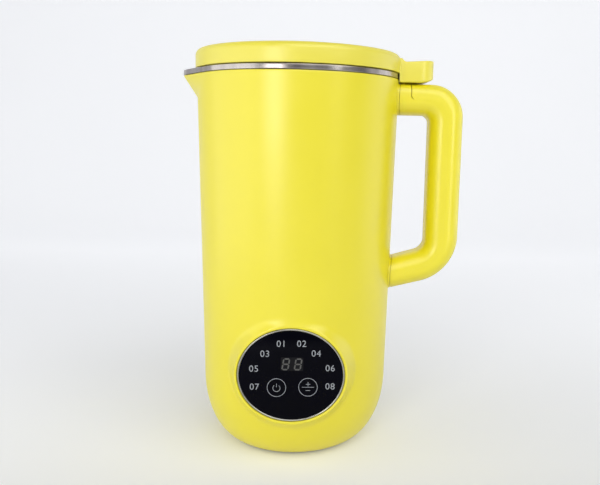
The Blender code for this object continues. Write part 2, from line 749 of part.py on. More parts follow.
def build_cup(jug, steel):
    """The steel cup: floor with the shaft hole, wall, pouring lip, flange and rim band."""
    bend = CUP_CORNER_RADIUS
    floor_radius = cup_radius(CUP_FLOOR + bend) - bend
    inside = [(CUP_HOLE_RADIUS, CUP_FLOOR, 0.0)]
    outside = [(CUP_HOLE_RADIUS, CUP_UNDERSIDE, 0.0)]
    for i in range(4):
        turn = math.radians(90 * i / 3)
        inside.append((floor_radius + bend * math.sin(turn), CUP_FLOOR + bend * (1 - math.cos(turn)), 0.0))
        outer_bend = bend + CUP_WALL
        outside.append((floor_radius + outer_bend * math.sin(turn),
                        CUP_FLOOR + bend - outer_bend * math.cos(turn), 0.0))
    for height in beak_heights()[::2]:
        reach = spout_reach(height)
        inside.append((cup_radius(height), height, reach))
        outside.append((cup_radius(height) + CUP_WALL, height, reach))
    under_flange = RIM_TOP - CUP_WALL
    profile = inside
    profile.append((CUP_TOP_RADIUS, RIM_TOP - MOUTH_EDGE, SPOUT_REACH))
    profile.append((CUP_TOP_RADIUS + MOUTH_EDGE, RIM_TOP, SPOUT_REACH))
    profile.append((BODY_TOP_RADIUS - BAND_EDGE, RIM_TOP, SPOUT_REACH))
    profile.append((BODY_TOP_RADIUS, RIM_TOP - BAND_EDGE, SPOUT_REACH))
    profile.append((BODY_TOP_RADIUS, RIM_LOW, SPOUT_REACH))
    profile.append((BODY_TOP_RADIUS - BAND_WIDTH, RIM_LOW, SPOUT_REACH))
    profile.append((BODY_TOP_RADIUS - BAND_WIDTH, under_flange, SPOUT_REACH))
    profile.append((CUP_TOP_RADIUS + MOUTH_EDGE, under_flange, SPOUT_REACH))
    profile += reversed(outside)
    rings = [body_ring(radius, height, reach) for radius, height, reach in profile]
    piece("inner_cup", loft(rings, closed=True), steel, jug)


# Handle

def rounded_turn(corner, radius, start, end):
    """Points round a corner's arc, from one angle to another in degrees."""
    steps = HANDLE_ARC_STEPS - 1
    turns = [math.radians(start + (end - start) * i / steps) for i in range(HANDLE_ARC_STEPS)]
    return [(corner[0] + radius * math.cos(t), corner[1] + radius * math.sin(t)) for t in turns]


def handle_line(reach, top, foot, slope_deg, shoulder, elbow):
    """One outline of the handle: arm, shoulder arc, grip, elbow arc and rising lower arm."""
    slope = math.radians(slope_deg)
    elbow_x = reach - elbow
    elbow_z = foot + (elbow_x - HANDLE_ROOT) * math.tan(slope) + elbow / math.cos(slope)
    line = [(HANDLE_ROOT, top)]
    line += rounded_turn((reach - shoulder, top - shoulder), shoulder, 90, 0)
    line += rounded_turn((elbow_x, elbow_z), elbow, 0, slope_deg - 90)
    line.append((HANDLE_ROOT, foot))
    return line


def handle_lines():
    """The handle's outer and inner outlines, point for point."""
    outer = handle_line(HANDLE_REACH, HANDLE_TOP, HANDLE_FOOT, LOW_ARM_OUTER_DEG,
                        SHOULDER_RADIUS, ELBOW_RADIUS)
    inner = handle_line(HANDLE_REACH - GRIP_THICKNESS, HANDLE_TOP - ARM_HEIGHT,
                        HANDLE_FOOT + LOW_ARM_HEIGHT, LOW_ARM_INNER_DEG,
                        INNER_SHOULDER_RADIUS, INNER_ELBOW_RADIUS)
    return outer, inner


def handle_solid():
    """The whole handle, as soft-cornered sections between its two outlines."""
    power = 2 / HANDLE_SQUARENESS
    widest = math.cos(math.pi / HANDLE_SIDES) ** power
    rings = []
    for (outer_x, outer_z), (inner_x, inner_z) in zip(*handle_lines()):
        ring = []
        for i in range(HANDLE_SIDES):
            turn = math.tau * (i + 0.5) / HANDLE_SIDES
            out = math.copysign(abs(math.cos(turn)) ** power, math.cos(turn))
            side = math.copysign(abs(math.sin(turn)) ** power, math.sin(turn))
            share = (1 + out / widest) / 2
            ring.append((inner_x + (outer_x - inner_x) * share, side * HANDLE_DEPTH / 2,
                         inner_z + (outer_z - inner_z) * share))
        rings.append(ring)
    return loft(rings)


def parting_region(growth):
    """The side view's region that the cover takes: outside the handle's middle line."""
    cut = PARTING_REACH - growth
    middle = []
    for (outer_x, outer_z), (inner_x, inner_z) in zip(*handle_lines()):
        across = Vector((outer_x - inner_x, outer_z - inner_z))
        inward = across.normalized() * -growth
        middle.append(Vector(((outer_x + inner_x) / 2 + inward.x, (outer_z + inner_z) / 2 + inward.y)))
    between = [(here + there) / 2 for here, there in zip(middle, middle[1:])]
    last, before = middle[-1], middle[-2]
    share = (cut - last.x) / (before.x - last.x)
    low_end = last.y + (before.y - last.y) * share
    far_x = HANDLE_REACH + OVERRUN
    far_top = HANDLE_TOP + OVERRUN
    far_low = HANDLE_FOOT - OVERRUN
    region = [(cut, far_top), (cut, middle[0].y)]
    region += [tuple(point) for point in between[1:-1]]
    region += [(cut, low_end), (cut, far_low), (far_x, far_low), (far_x, far_top)]
    return prism(region, -HANDLE_DEPTH, HANDLE_DEPTH, "Y")


def handle_screw_heights():
    """Heights of the two screws that hold the handle to the shell."""
    return (HANDLE_TOP - UPPER_SCREW_DROP, HANDLE_FOOT + LOWER_SCREW_RISE)


def build_handle(jug, yellow, zinc):
    """Frame and cover of the handle, fitted to the drum, with the screws behind them."""
    drum = loft([body_ring(body_radius(z) + CLEARANCE, z, 0)
                 for z in (HANDLE_FOOT - OVERRUN, HANDLE_TOP + OVERRUN)])
    drum_cut = tool("drum_form", drum, jug)
    half = CLEARANCE / 2

    frame = piece("handle_frame", handle_solid(), yellow, jug)
    combine(frame, tool("cover_space", parting_region(half), jug), "DIFFERENCE")
    combine(frame, drum_cut, "DIFFERENCE")
    nest = prism(rectangle(SWITCH_LENGTH / 2 + CLEARANCE, SWITCH_WIDTH / 2 + CLEARANCE, (PLUNGER_PLACE, 0)),
                 SWITCH_LOW - CLEARANCE, ARM_MIDDLE + OVERRUN)
    combine(frame, tool("switch_nest", nest, jug), "DIFFERENCE")
    pilots = []
    for height in handle_screw_heights():
        start = body_radius(height)
        pilots.append(lie_along_x(cylinder(HANDLE_SCREW_RADIUS + CLEARANCE, -OVERRUN,
                                           HANDLE_SCREW_GRIP + CLEARANCE), (start, 0, height)))
    combine(frame, tool("handle_pilots", gather(pilots), jug), "DIFFERENCE")

    cover = piece("handle_cover", handle_solid(), yellow, jug)
    combine(cover, tool("cover_form", parting_region(-half), jug), "INTERSECT")
    roof = HANDLE_TOP - PLUNGER_ROOF
    well = lathe([(0, ARM_MIDDLE - OVERRUN), (PLUNGER_FLANGE_RADIUS + CLEARANCE, ARM_MIDDLE - OVERRUN),
                  (PLUNGER_FLANGE_RADIUS + CLEARANCE, roof), (PLUNGER_RADIUS + CLEARANCE, roof),
                  (PLUNGER_RADIUS + CLEARANCE, HANDLE_TOP + OVERRUN), (0, HANDLE_TOP + OVERRUN)], 16)
    combine(cover, tool("plunger_well", moved(well, (PLUNGER_PLACE, 0, 0)), jug), "DIFFERENCE")

    for i, height in enumerate(handle_screw_heights(), 1):
        inner_wall = body_radius(height, SHELL_WALL) - CLEARANCE
        shank_end = SHELL_WALL + CLEARANCE + HANDLE_SCREW_GRIP - CLEARANCE
        screw = lathe([(0, -HANDLE_SCREW_HEAD), (HANDLE_SCREW_HEAD_RADIUS, -HANDLE_SCREW_HEAD),
                       (HANDLE_SCREW_HEAD_RADIUS, -CLEARANCE), (HANDLE_SCREW_RADIUS, -CLEARANCE),
                       (HANDLE_SCREW_RADIUS, shank_end), (0, shank_end)], 12)
        piece(f"handle_screw_{i}", lie_along_x(screw, (inner_wall, 0, height)), zinc, jug)


def build_interlock(jug, black, zinc):
    """Switch in the frame, and the plunger with its spring in the cover's well."""
    nest = rectangle(SWITCH_LENGTH / 2, SWITCH_WIDTH / 2, (PLUNGER_PLACE, 0))
    piece("lid_switch", prism(nest, SWITCH_LOW, SWITCH_TOP), black, jug)
    guide = empty("plunger_guide", (PLUNGER_PLACE, 0, 0), jug)
    pin_low = SWITCH_TOP + CLEARANCE
    crown = PLUNGER_TOP - PLUNGER_RADIUS / 2
    profile = [(0, pin_low), (PLUNGER_PIN_RADIUS, pin_low), (PLUNGER_PIN_RADIUS, FLANGE_LOW),
               (PLUNGER_FLANGE_RADIUS, FLANGE_LOW), (PLUNGER_FLANGE_RADIUS, FLANGE_TOP),
               (PLUNGER_RADIUS, FLANGE_TOP), (PLUNGER_RADIUS, crown),
               (PLUNGER_RADIUS / 2, PLUNGER_TOP), (0, PLUNGER_TOP)]
    piece("interlock_plunger", lathe(profile, 16), black, guide)
    radius = PLUNGER_FLANGE_RADIUS - CLEARANCE - PLUNGER_SPRING_WIRE
    low = SWITCH_TOP + CLEARANCE + PLUNGER_SPRING_WIRE
    high = FLANGE_LOW - CLEARANCE - PLUNGER_SPRING_WIRE
    wire("plunger_spring", coil_points(radius, radius, low, high, PLUNGER_SPRING_TURNS),
         PLUNGER_SPRING_WIRE, zinc, guide)


def coil_points(first_radius, last_radius, low, high, turns, per_turn=7):
    """A helix about Z whose radius may change from end to end."""
    count = turns * per_turn
    points = []
    for i in range(count + 1):
        share = i / count
        turn = math.tau * i / per_turn
        radius = first_radius + (last_radius - first_radius) * share
        points.append((radius * math.cos(turn), radius * math.sin(turn), low + (high - low) * share))
    return points


# Control panel

def build_panel(jug, looks):
    """Trim ring, lens, display, board and the springs behind the touch keys."""
    ring = panel_prism(0.0, LIP_FRONT - TRIM_RECESS, LENS_BACK)
    trim = piece("panel_trim_ring", ring, looks["chrome"], jug)
    combine(trim, tool("trim_bore", panel_prism(TRIM_WIDTH, LIP_FRONT + OVERRUN, LENS_BACK - OVERRUN), jug),
            "DIFFERENCE")
    piece("panel_lens", panel_prism(TRIM_WIDTH + CLEARANCE, LENS_FRONT, LENS_BACK), looks["lens"], jug)
    face = rectangle(DISPLAY_WIDTH / 2, DISPLAY_HEIGHT / 2, (0, PANEL_HEIGHT + DISPLAY_RISE))
    piece("digit_display", prism(face, -DISPLAY_FRONT, -DISPLAY_BACK, "Y"), looks["black"], jug)
    piece("display_board", panel_prism(TRIM_WIDTH, BOARD_FRONT, BOARD_BACK), looks["board"], jug)
    low = BOARD_FRONT + CLEARANCE + KEY_SPRING_WIRE
    high = DISPLAY_FRONT - KEY_SPRING_WIRE
    for i, side in enumerate((-1, 1), 1):
        points = coil_points(KEY_SPRING_TOP_RADIUS, KEY_SPRING_RADIUS, low, high, KEY_SPRING_TURNS)
        centre = (side * KEY_SPACING / 2, PANEL_HEIGHT - KEY_DROP)
        turned = [(centre[0] + x, -z, centre[1] + y) for x, y, z in points]
        wire(f"touch_spring_{i}", turned, KEY_SPRING_WIRE, looks["zinc"], jug)


# Lid

def lid_dome(radius):
    """Height of the lid's outer dome at a radius."""
    edge = LID_RADIUS - LID_EDGE_RADIUS
    ball = (edge * edge + LID_DOME * LID_DOME) / (2 * LID_DOME)
    return LID_TOP - ball + math.sqrt(ball * ball - radius * radius)


def build_lid(guide, looks):
    """Cover with its tongue, liner that plugs the mouth, and the seal in the liner's groove."""
    edge = LID_RADIUS - LID_EDGE_RADIUS
    profile = [(LID_RADIUS, LID_LOW)]
    for i in range(5):
        turn = math.radians(90 * i / 4)
        profile.append((edge + LID_EDGE_RADIUS * math.cos(turn),
                        LID_SHOULDER + LID_EDGE_RADIUS * math.sin(turn)))
    dome_shares = (0.66, 0.33)
    profile += [(edge * share, lid_dome(edge * share)) for share in dome_shares]
    profile.append((0, LID_TOP))
    inner = LID_RADIUS - LID_WALL
    under = [(inner, LID_LOW), (inner, LID_SHOULDER), (edge - LID_WALL / 2, lid_dome(edge) - LID_WALL)]
    under += [(edge * share, lid_dome(edge * share) - LID_WALL) for share in dome_shares]
    under.append((0, LID_TOP - LID_WALL))
    cover = piece("lid_cover", lathe(list(reversed(profile)) + under, LID_STEPS), looks["yellow"], guide)

    tab_top = LID_TOP - TAB_TOP_DROP
    tab_low = HANDLE_TOP + TAB_GAP + CLEARANCE
    nose_start = TAB_REACH - TAB_NOSE
    root = LID_RADIUS - LID_WALL
    plan = [(root, TAB_HALF_WIDTH + TAB_ROOT_FLARE),
            (LID_RADIUS, TAB_HALF_WIDTH + TAB_ROOT_FLARE / 4),
            (LID_RADIUS + TAB_ROOT_FLARE / 2, TAB_HALF_WIDTH)]
    for i in range(6):
        turn = math.radians(90 * i / 6)
        plan.append((nose_start + TAB_NOSE * math.sin(turn), TAB_HALF_WIDTH * math.cos(turn)))
    plan.append((TAB_REACH, 0))
    plan += [(x, -y) for x, y in reversed(plan[:-1])]
    tab = tool("tab_form", prism(plan, tab_low - OVERRUN, tab_top + TAB_TOP_FLARE + OVERRUN), guide)
    side = [(root - OVERRUN, tab_low), (nose_start, tab_low)]
    for i in range(1, 6):
        share = i / 5
        side.append((nose_start + TAB_NOSE * share, tab_low + TAB_BOTTOM_RISE * share * share))
    side += [(TAB_REACH + OVERRUN, tab_low + TAB_BOTTOM_RISE), (TAB_REACH + OVERRUN, tab_top + TAB_TOP_RISE),
             (TAB_REACH, tab_top + TAB_TOP_RISE), (LID_RADIUS + TAB_TOP_FLARE, tab_top),
             (LID_RADIUS + TAB_TOP_FLARE / 2, tab_top + TAB_TOP_FLARE / 4),
             (LID_RADIUS, tab_top + TAB_TOP_FLARE), (root - OVERRUN, tab_top + TAB_TOP_FLARE)]
    combine(tab, tool("tab_side", prism(side, -TAB_HALF_WIDTH * 2, TAB_HALF_WIDTH * 2, "Y"), guide),
            "INTERSECT")
    combine(tab, tool("mouth_form", cylinder(BODY_TOP_RADIUS + CLEARANCE, HANDLE_TOP - OVERRUN, LID_LOW,
                                             LID_STEPS), guide), "DIFFERENCE")
    combine(cover, tab, "UNION")

    low = RIM_LOW + CLEARANCE - LINER_DEPTH + SEAL_HEIGHT
    groove_low = low + SEAL_GROOVE_LIFT
    groove_top = groove_low + SEAL_HEIGHT
    groove = LINER_RADIUS - SEAL_GROOVE
    top = lid_dome(LINER_RADIUS) - LID_WALL - CLEARANCE
    hollow = groove - LINER_WALL
    liner = [(0, low), (LINER_RADIUS - LINER_WALL, low), (LINER_RADIUS, low + LINER_WALL / 2),
             (LINER_RADIUS, groove_low), (groove, groove_low), (groove, groove_top),
             (LINER_RADIUS, groove_top), (LINER_RADIUS, top), (hollow, top), (hollow, low + LINER_WALL),
             (0, low + LINER_WALL)]
    piece("lid_liner", lathe(liner, 28), looks["liner"], guide)
    seal_out = cup_radius(groove_low) - CLEARANCE
    seal_low = groove_low + CLEARANCE
    seal_top = groove_top - CLEARANCE
    middle = (seal_low + seal_top) / 2
    seal = [(groove + CLEARANCE, seal_low), (LINER_RADIUS + SEAL_BEAD / 2, seal_low),
            (seal_out, middle), (seal_out - SEAL_LIP, middle + SEAL_LIP),
            (LINER_RADIUS + SEAL_BEAD / 2, seal_low + SEAL_LIP), (LINER_RADIUS, seal_top),
            (groove + CLEARANCE, seal_top)]
    piece("lid_seal", lathe(seal, 30), looks["silicone"], guide)


# Base

def foot_places():
    """Centres of the four feet."""
    turns = [math.radians(45 + 90 * i) for i in range(4)]
    return [(FOOT_CIRCLE * math.cos(turn), FOOT_CIRCLE * math.sin(turn), 0) for turn in turns]


def build_base(jug, looks):
    """Vented base cover with its feet and screws."""
    outline = [(0, SHELL_BOTTOM), (BASE_OPENING_RADIUS - CLEARANCE, SHELL_BOTTOM),
               (BASE_OPENING_RADIUS - CLEARANCE, BASE_TOP), (0, BASE_TOP)]
    cover = piece("base_cover", lathe(outline, 32), looks["black"], jug)
    slots = []
    half_length = (VENT_OUTER_RADIUS - VENT_INNER_RADIUS) / 2
    middle = (VENT_OUTER_RADIUS + VENT_INNER_RADIUS) / 2
    for i in range(VENT_COUNT):
        slot = prism(rectangle(half_length, VENT_WIDTH / 2, (middle, 0)), SHELL_BOTTOM - OVERRUN,
                     BASE_TOP + OVERRUN)
        slots.append(moved(slot, turn=math.tau * i / VENT_COUNT))
    combine(cover, tool("vent_slots", gather(slots), jug), "DIFFERENCE")
    pocket_top = SHELL_BOTTOM + FOOT_POCKET + CLEARANCE
    pockets = [moved(cylinder(FOOT_RADIUS + CLEARANCE, SHELL_BOTTOM - OVERRUN, pocket_top, 14), place)
               for place in foot_places()]
    combine(cover, tool("foot_pockets", gather(pockets), jug), "DIFFERENCE")
    head_top = SHELL_BOTTOM + BASE_SCREW_HEAD
    sinks = []
    wide = BASE_SCREW_HEAD_RADIUS + CLEARANCE
    narrow = BASE_SCREW_RADIUS + CLEARANCE
    for place, _ in base_screw_places():
        sink = lathe([(0, SHELL_BOTTOM - OVERRUN), (wide, SHELL_BOTTOM - OVERRUN),
                      (wide, head_top + CLEARANCE), (narrow, head_top + CLEARANCE),
                      (narrow, BASE_TOP + OVERRUN), (0, BASE_TOP + OVERRUN)], 10)
        sinks.append(moved(sink, place))
    combine(cover, tool("screw_sinks", gather(sinks), jug), "DIFFERENCE")

    for i, place in enumerate(foot_places(), 1):
        foot = lathe([(0, 0), (FOOT_RADIUS - CLEARANCE, 0), (FOOT_RADIUS, CLEARANCE),
                      (FOOT_RADIUS, SHELL_BOTTOM + FOOT_POCKET), (0, SHELL_BOTTOM + FOOT_POCKET)], 14)
        piece(f"foot_{i}", foot, looks["rubber"], jug, place)
    for i, (place, _) in enumerate(base_screw_places(), 1):
        end = SHELL_BOTTOM + BASE_SCREW_LENGTH
        screw = lathe([(0, SHELL_BOTTOM), (BASE_SCREW_HEAD_RADIUS, SHELL_BOTTOM),
                       (BASE_SCREW_HEAD_RADIUS, head_top), (BASE_SCREW_RADIUS, head_top),
                       (BASE_SCREW_RADIUS, end), (0, end)], 10)
        piece(f"base_screw_{i}", screw, looks["zinc"], jug, place)


# Motor

def bolt_places():
    """The two motor bolts, on a diagonal of the stator."""
    return [(BOLT_SPREAD, BOLT_OFFSET), (-BOLT_SPREAD, -BOLT_OFFSET)]


def bracket_solid(plate_low, housing_top, leg_low, leg_top, arm):
    """A bracket: a bar on the bolts' diagonal, a bearing housing, two legs and any brush arm."""
    length = math.hypot(BOLT_SPREAD, BOLT_OFFSET)
    turn = math.atan2(BOLT_OFFSET, BOLT_SPREAD)
    bar = moved(prism(rectangle(length, BRACKET_HALF_WIDTH), plate_low, plate_low + BRACKET_THICKNESS),
                turn=turn)
    leg_radius = BOLT_RADIUS + CLEARANCE + BOLT_TUBE_WALL
    housing = cylinder(BEARING_RADIUS + CLEARANCE + HOUSING_WALL, plate_low, housing_top, 16)
    legs = [moved(cylinder(leg_radius, leg_low, leg_top, 8), (*place, 0)) for place in bolt_places()]
    bodies = [housing] + legs
    if arm:
        bodies.append(prism(rectangle(arm, BRUSH_HALF_WIDTH * 2), plate_low, plate_low + BRACKET_THICKNESS))
    return bar, gather(bodies)


def build_bracket(name, plate_low, leg_low, leg_top, jug, look, arm=0.0):
    """One motor bracket with its bearing pocket, shaft hole and bolt holes."""
    housing_top = plate_low + HOUSING_FLOOR + CLEARANCE + BEARING_HEIGHT
    bar, rest = bracket_solid(plate_low, housing_top, leg_low, leg_top, arm)
    bracket = piece(name, bar, look, jug)
    combine(bracket, tool(name + "_form", rest, jug), "UNION", True)
    floor = plate_low + HOUSING_FLOOR
    bore = lathe([(0, plate_low - OVERRUN), (SHAFT_RADIUS + HOUSING_FLOOR, plate_low - OVERRUN),
                  (SHAFT_RADIUS + HOUSING_FLOOR, floor), (BEARING_RADIUS + CLEARANCE, floor),
                  (BEARING_RADIUS + CLEARANCE, housing_top + OVERRUN), (0, housing_top + OVERRUN)], 16)
    holes = [moved(cylinder(BOLT_RADIUS + CLEARANCE, leg_low - OVERRUN, leg_top + OVERRUN, 8), (*place, 0))
             for place in bolt_places()]
    combine(bracket, tool(name + "_bores", gather([bore] + holes), jug), "DIFFERENCE")


def coil_path(side):
    """A field coil's middle line: up both windows of the stator and bowed round the rotor's ends."""
    points = []
    steps = 8
    for end, inner in ((1, CORE_TOP), (-1, CORE_LOW)):
        for i in range(steps + 1):
            share = i / steps
            across = COIL_SPREAD * end * math.cos(math.pi * share)
            bow = COIL_OFFSET + (COIL_BOW - COIL_OFFSET) * math.sin(math.pi * share)
            lift = COIL_BEND_SHARE if i in (0, steps) else 1.0
            points.append((across, side * bow, inner + end * COIL_RISE * lift))
    return points


def build_stator(jug, looks):
    """Laminated core with its bore and windows, the coils, the brackets and the bolts."""
    core = piece("stator_core", prism(rounded(STATOR_HALF_WIDTH, STATOR_HALF_DEPTH, STATOR_CORNER),
                                      CORE_LOW, CORE_TOP), looks["lamination"], jug)
    window = COIL_RADIUS + CLEARANCE
    low = CORE_LOW - OVERRUN
    high = CORE_TOP + OVERRUN
    holes = [moved(cylinder(BOLT_RADIUS + CLEARANCE, low, high, 8), (*place, 0)) for place in bolt_places()]
    cuts = tool("core_holes", gather(holes), jug)
    combine(core, tool("core_bore", cylinder(ARMATURE_RADIUS + AIR_GAP, low, high, 32), jug), "DIFFERENCE")
    combine(core, cuts, "DIFFERENCE")
    for side in (-1, 1):
        outline = rounded(window, COIL_OFFSET + window, window - WINDOW_FLAT, (side * COIL_SPREAD, 0))
        combine(core, tool(f"core_window_{side + 2}", prism(outline, low, high), jug), "DIFFERENCE")
    for i, side in enumerate((-1, 1), 1):
        wire(f"field_coil_{i}", coil_path(side), COIL_RADIUS, looks["copper"], jug, True, 2)

    brush_arm = COMMUTATOR_RADIUS + CLEARANCE + BRUSH_HOLDER_WALL + BRUSH_HOLDER_LENGTH
    build_bracket("bottom_bracket", LOW_PLATE, LOW_PLATE, CORE_LOW - CLEARANCE, jug, looks["aluminium"],
                  brush_arm)
    build_bracket("top_bracket", TOP_PLATE, CORE_TOP + CLEARANCE, TOP_PLATE + BRACKET_THICKNESS, jug,
                  looks["aluminium"])
    for i, (x, y) in enumerate(bolt_places(), 1):
        head_top = LOW_PLATE - CLEARANCE
        end = TOP_PLATE + BRACKET_THICKNESS
        bolt = lathe([(0, head_top - BOLT_HEAD), (BOLT_HEAD_RADIUS, head_top - BOLT_HEAD),
                      (BOLT_HEAD_RADIUS, head_top), (BOLT_RADIUS, head_top), (BOLT_RADIUS, end), (0, end)], 8)
        piece(f"motor_bolt_{i}", bolt, looks["zinc"], jug, (x, y, 0))
    for name, low in (("lower_bearing", LOW_BEARING), ("upper_bearing", TOP_BEARING)):
        piece(name, tube(BEARING_RADIUS, SHAFT_RADIUS + CLEARANCE, low, low + BEARING_HEIGHT),
              looks["steel"], jug)


def build_brushes(jug, looks):
    """Brush holders that stand on the bottom bracket, with carbons against the commutator."""
    height = (COMMUTATOR_LOW + COMMUTATOR_TOP) / 2
    start = COMMUTATOR_RADIUS + CLEARANCE
    shell = BRUSH_HALF_WIDTH + CLEARANCE + BRUSH_HOLDER_WALL
    for i, side in enumerate((-1, 1), 1):
        holder_start = start + BRUSH_HOLDER_WALL
        holder_end = holder_start + BRUSH_HOLDER_LENGTH
        middle = (holder_start + holder_end) / 2
        sleeve = prism(rectangle(shell, shell, (0, height)), side * holder_start, side * holder_end, "X")
        holder = piece(f"brush_holder_{i}", sleeve, looks["brass"], jug)
        bore = prism(rectangle(BRUSH_HALF_WIDTH + CLEARANCE, BRUSH_HALF_WIDTH + CLEARANCE, (0, height)),
                     side * (start - OVERRUN), side * (holder_end - BRUSH_HOLDER_WALL), "X")
        combine(holder, tool(f"brush_bore_{i}", bore, jug), "DIFFERENCE")
        stalk = prism(rectangle(BRUSH_HALF_WIDTH, BRUSH_HALF_WIDTH, (side * middle, 0)),
                      LOW_PLATE + BRACKET_THICKNESS + CLEARANCE, height - shell + BRUSH_HOLDER_WALL / 2)
        combine(holder, tool(f"brush_stalk_{i}", stalk, jug), "UNION")
        carbon = prism(rectangle(BRUSH_HALF_WIDTH, BRUSH_HALF_WIDTH, (0, height)),
                       side * start, side * (start + BRUSH_LENGTH), "X")
        piece(f"carbon_brush_{i}", carbon, looks["carbon"], jug)


def slot_outline(growth):
    """Half-width and radii of an armature slot, grown on every side."""
    return SLOT_WIDTH / 2 + growth, SLOT_INNER_RADIUS - growth, SLOT_INNER_RADIUS + SLOT_DEPTH + growth


def build_rotor(axis, looks):
    """Shaft, fan, commutator, slotted armature with its winding, blade and nut."""
    shaft = lathe([(0, SHAFT_LOW), (SHAFT_RADIUS, SHAFT_LOW), (SHAFT_RADIUS, SHAFT_TOP), (0, SHAFT_TOP)], 16)
    piece("motor_shaft", shaft, looks["steel"], axis)
    bore = SHAFT_RADIUS + CLEARANCE
    shaft_cut = tool("shaft_form", cylinder(bore, SHAFT_LOW - OVERRUN, SHAFT_TOP, 16), axis)

    fan = piece("cooling_fan", cylinder(FAN_RADIUS, FAN_TOP - FAN_PLATE, FAN_TOP, 20), looks["black"], axis)
    vanes = [cylinder(FAN_HUB_RADIUS, FAN_LOW, FAN_TOP - FAN_PLATE / 2, 14)]
    for i in range(FAN_VANES):
        outline = rectangle((FAN_RADIUS - FAN_HUB_RADIUS) / 2, FAN_VANE_WIDTH / 2,
                            ((FAN_RADIUS + FAN_HUB_RADIUS) / 2 - FAN_VANE_WIDTH, 0))
        vane = prism(outline, FAN_LOW + FAN_PLATE, FAN_TOP - FAN_PLATE / 2)
        vanes.append(moved(vane, turn=math.tau * i / FAN_VANES))
    combine(fan, tool("fan_vanes", gather(vanes), axis), "UNION", True)
    combine(fan, shaft_cut, "DIFFERENCE")

    commutator = piece("commutator", tube(COMMUTATOR_RADIUS, bore, COMMUTATOR_LOW, COMMUTATOR_TOP, 20),
                       looks["copper"], axis)
    grooves = []
    for i in range(COMMUTATOR_SLOTS):
        outline = rectangle(COMMUTATOR_SLOT_DEPTH, COMMUTATOR_SLOT_WIDTH / 2, (COMMUTATOR_RADIUS, 0))
        groove = prism(outline, COMMUTATOR_LOW - OVERRUN, COMMUTATOR_TOP + OVERRUN)
        grooves.append(moved(groove, turn=math.tau * (i + 0.5) / COMMUTATOR_SLOTS))
    combine(commutator, tool("commutator_grooves", gather(grooves), axis), "DIFFERENCE")

    core = piece("armature_core", tube(ARMATURE_RADIUS, bore, CORE_LOW, CORE_TOP, 20),
                 looks["lamination"], axis)
    half, inner, outer = slot_outline(0.0)
    past = ARMATURE_RADIUS + SLOT_MOUTH
    slots = []
    for i in range(ARMATURE_SLOTS):
        turn = math.tau * i / ARMATURE_SLOTS
        outline = [(inner, -half), (outer, -half), (outer, -SLOT_MOUTH / 2), (past, -SLOT_MOUTH / 2),
                   (past, SLOT_MOUTH / 2), (outer, SLOT_MOUTH / 2), (outer, half), (inner, half)]
        slots.append(moved(prism(outline, CORE_LOW - OVERRUN, CORE_TOP + OVERRUN), turn=turn))
    combine(core, tool("armature_slots", gather(slots), axis), "DIFFERENCE")

    half, inner, outer = slot_outline(-CLEARANCE)
    heads = []
    for low, high in ((CORE_LOW - WINDING_OVERHANG, CORE_LOW - CLEARANCE),
                      (CORE_TOP + CLEARANCE, CORE_TOP + WINDING_OVERHANG)):
        heads.append(lathe([(WINDING_SHELL_RADIUS, low), (WINDING_OUTER_RADIUS - JOIN_DEPTH, low),
                            (WINDING_OUTER_RADIUS, (low + high) / 2), (WINDING_OUTER_RADIUS, high),
                            (WINDING_SHELL_RADIUS, high)], 14))
    bars = []
    for i in range(ARMATURE_SLOTS):
        outline = rectangle((outer - inner) / 2, half, ((outer + inner) / 2, 0))
        bar = prism(outline, CORE_LOW - JOIN_DEPTH, CORE_TOP + JOIN_DEPTH)
        bars.append(moved(bar, turn=math.tau * i / ARMATURE_SLOTS))
    winding = piece("armature_winding", heads[0], looks["copper"], axis)
    combine(winding, tool("winding_bars", gather(bars + [heads[1]]), axis), "UNION", True)

    build_blade(axis, looks["steel"])
    nut_top = NUT_LOW + NUT_HEIGHT
    hexagon = [(NUT_RADIUS * math.cos(math.radians(60 * i)), NUT_RADIUS * math.sin(math.radians(60 * i)))
               for i in range(6)]
    nut = piece("blade_nut", prism(hexagon, NUT_LOW, nut_top), looks["steel"], axis)
    dome = [(0, NUT_LOW + CLEARANCE), (NUT_DOME_RADIUS, NUT_LOW + CLEARANCE),
            (NUT_DOME_RADIUS, nut_top)]
    for i in range(1, 5):
        turn = math.radians(90 * i / 5)
        dome.append((NUT_DOME_RADIUS * math.cos(turn), nut_top + NUT_DOME_RISE * math.sin(turn)))
    dome.append((0, nut_top + NUT_DOME_RISE))
    combine(nut, tool("nut_dome", lathe(dome, 16), axis), "UNION")
    combine(nut, tool("nut_bore", cylinder(bore, NUT_LOW - OVERRUN, NUT_LOW + NUT_BORE_DEPTH, 12), axis),
            "DIFFERENCE")


def wing_solid(turn, tip_rise):
    """One cutting wing: flat at the hub, then swept up or down, tapering and pitched to its tip."""
    station_shares = ((0.0, 0.0), (0.32, 0.0), (0.48, 0.18), (0.74, 0.6), (1.0, 1.0))
    middle = (BLADE_LOW + BLADE_TOP) / 2
    rings = []
    for along_share, rise_share in station_shares:
        along = BLADE_REACH * along_share
        width = BLADE_ROOT_WIDTH + (BLADE_TIP_WIDTH - BLADE_ROOT_WIDTH) * along_share
        pitch = math.radians(BLADE_PITCH_DEG) * rise_share
        centre = Vector((along, 0, middle + tip_rise * rise_share))
        half_width = Vector((0, math.cos(pitch), math.sin(pitch))) * (width / 2)
        half_thick = Vector((0, -math.sin(pitch), math.cos(pitch))) * (BLADE_THICKNESS / 2)
        rings.append([centre - half_width - half_thick, centre + half_width - half_thick,
                      centre + half_width + half_thick, centre - half_width + half_thick])
    return moved(loft(rings), turn=turn)


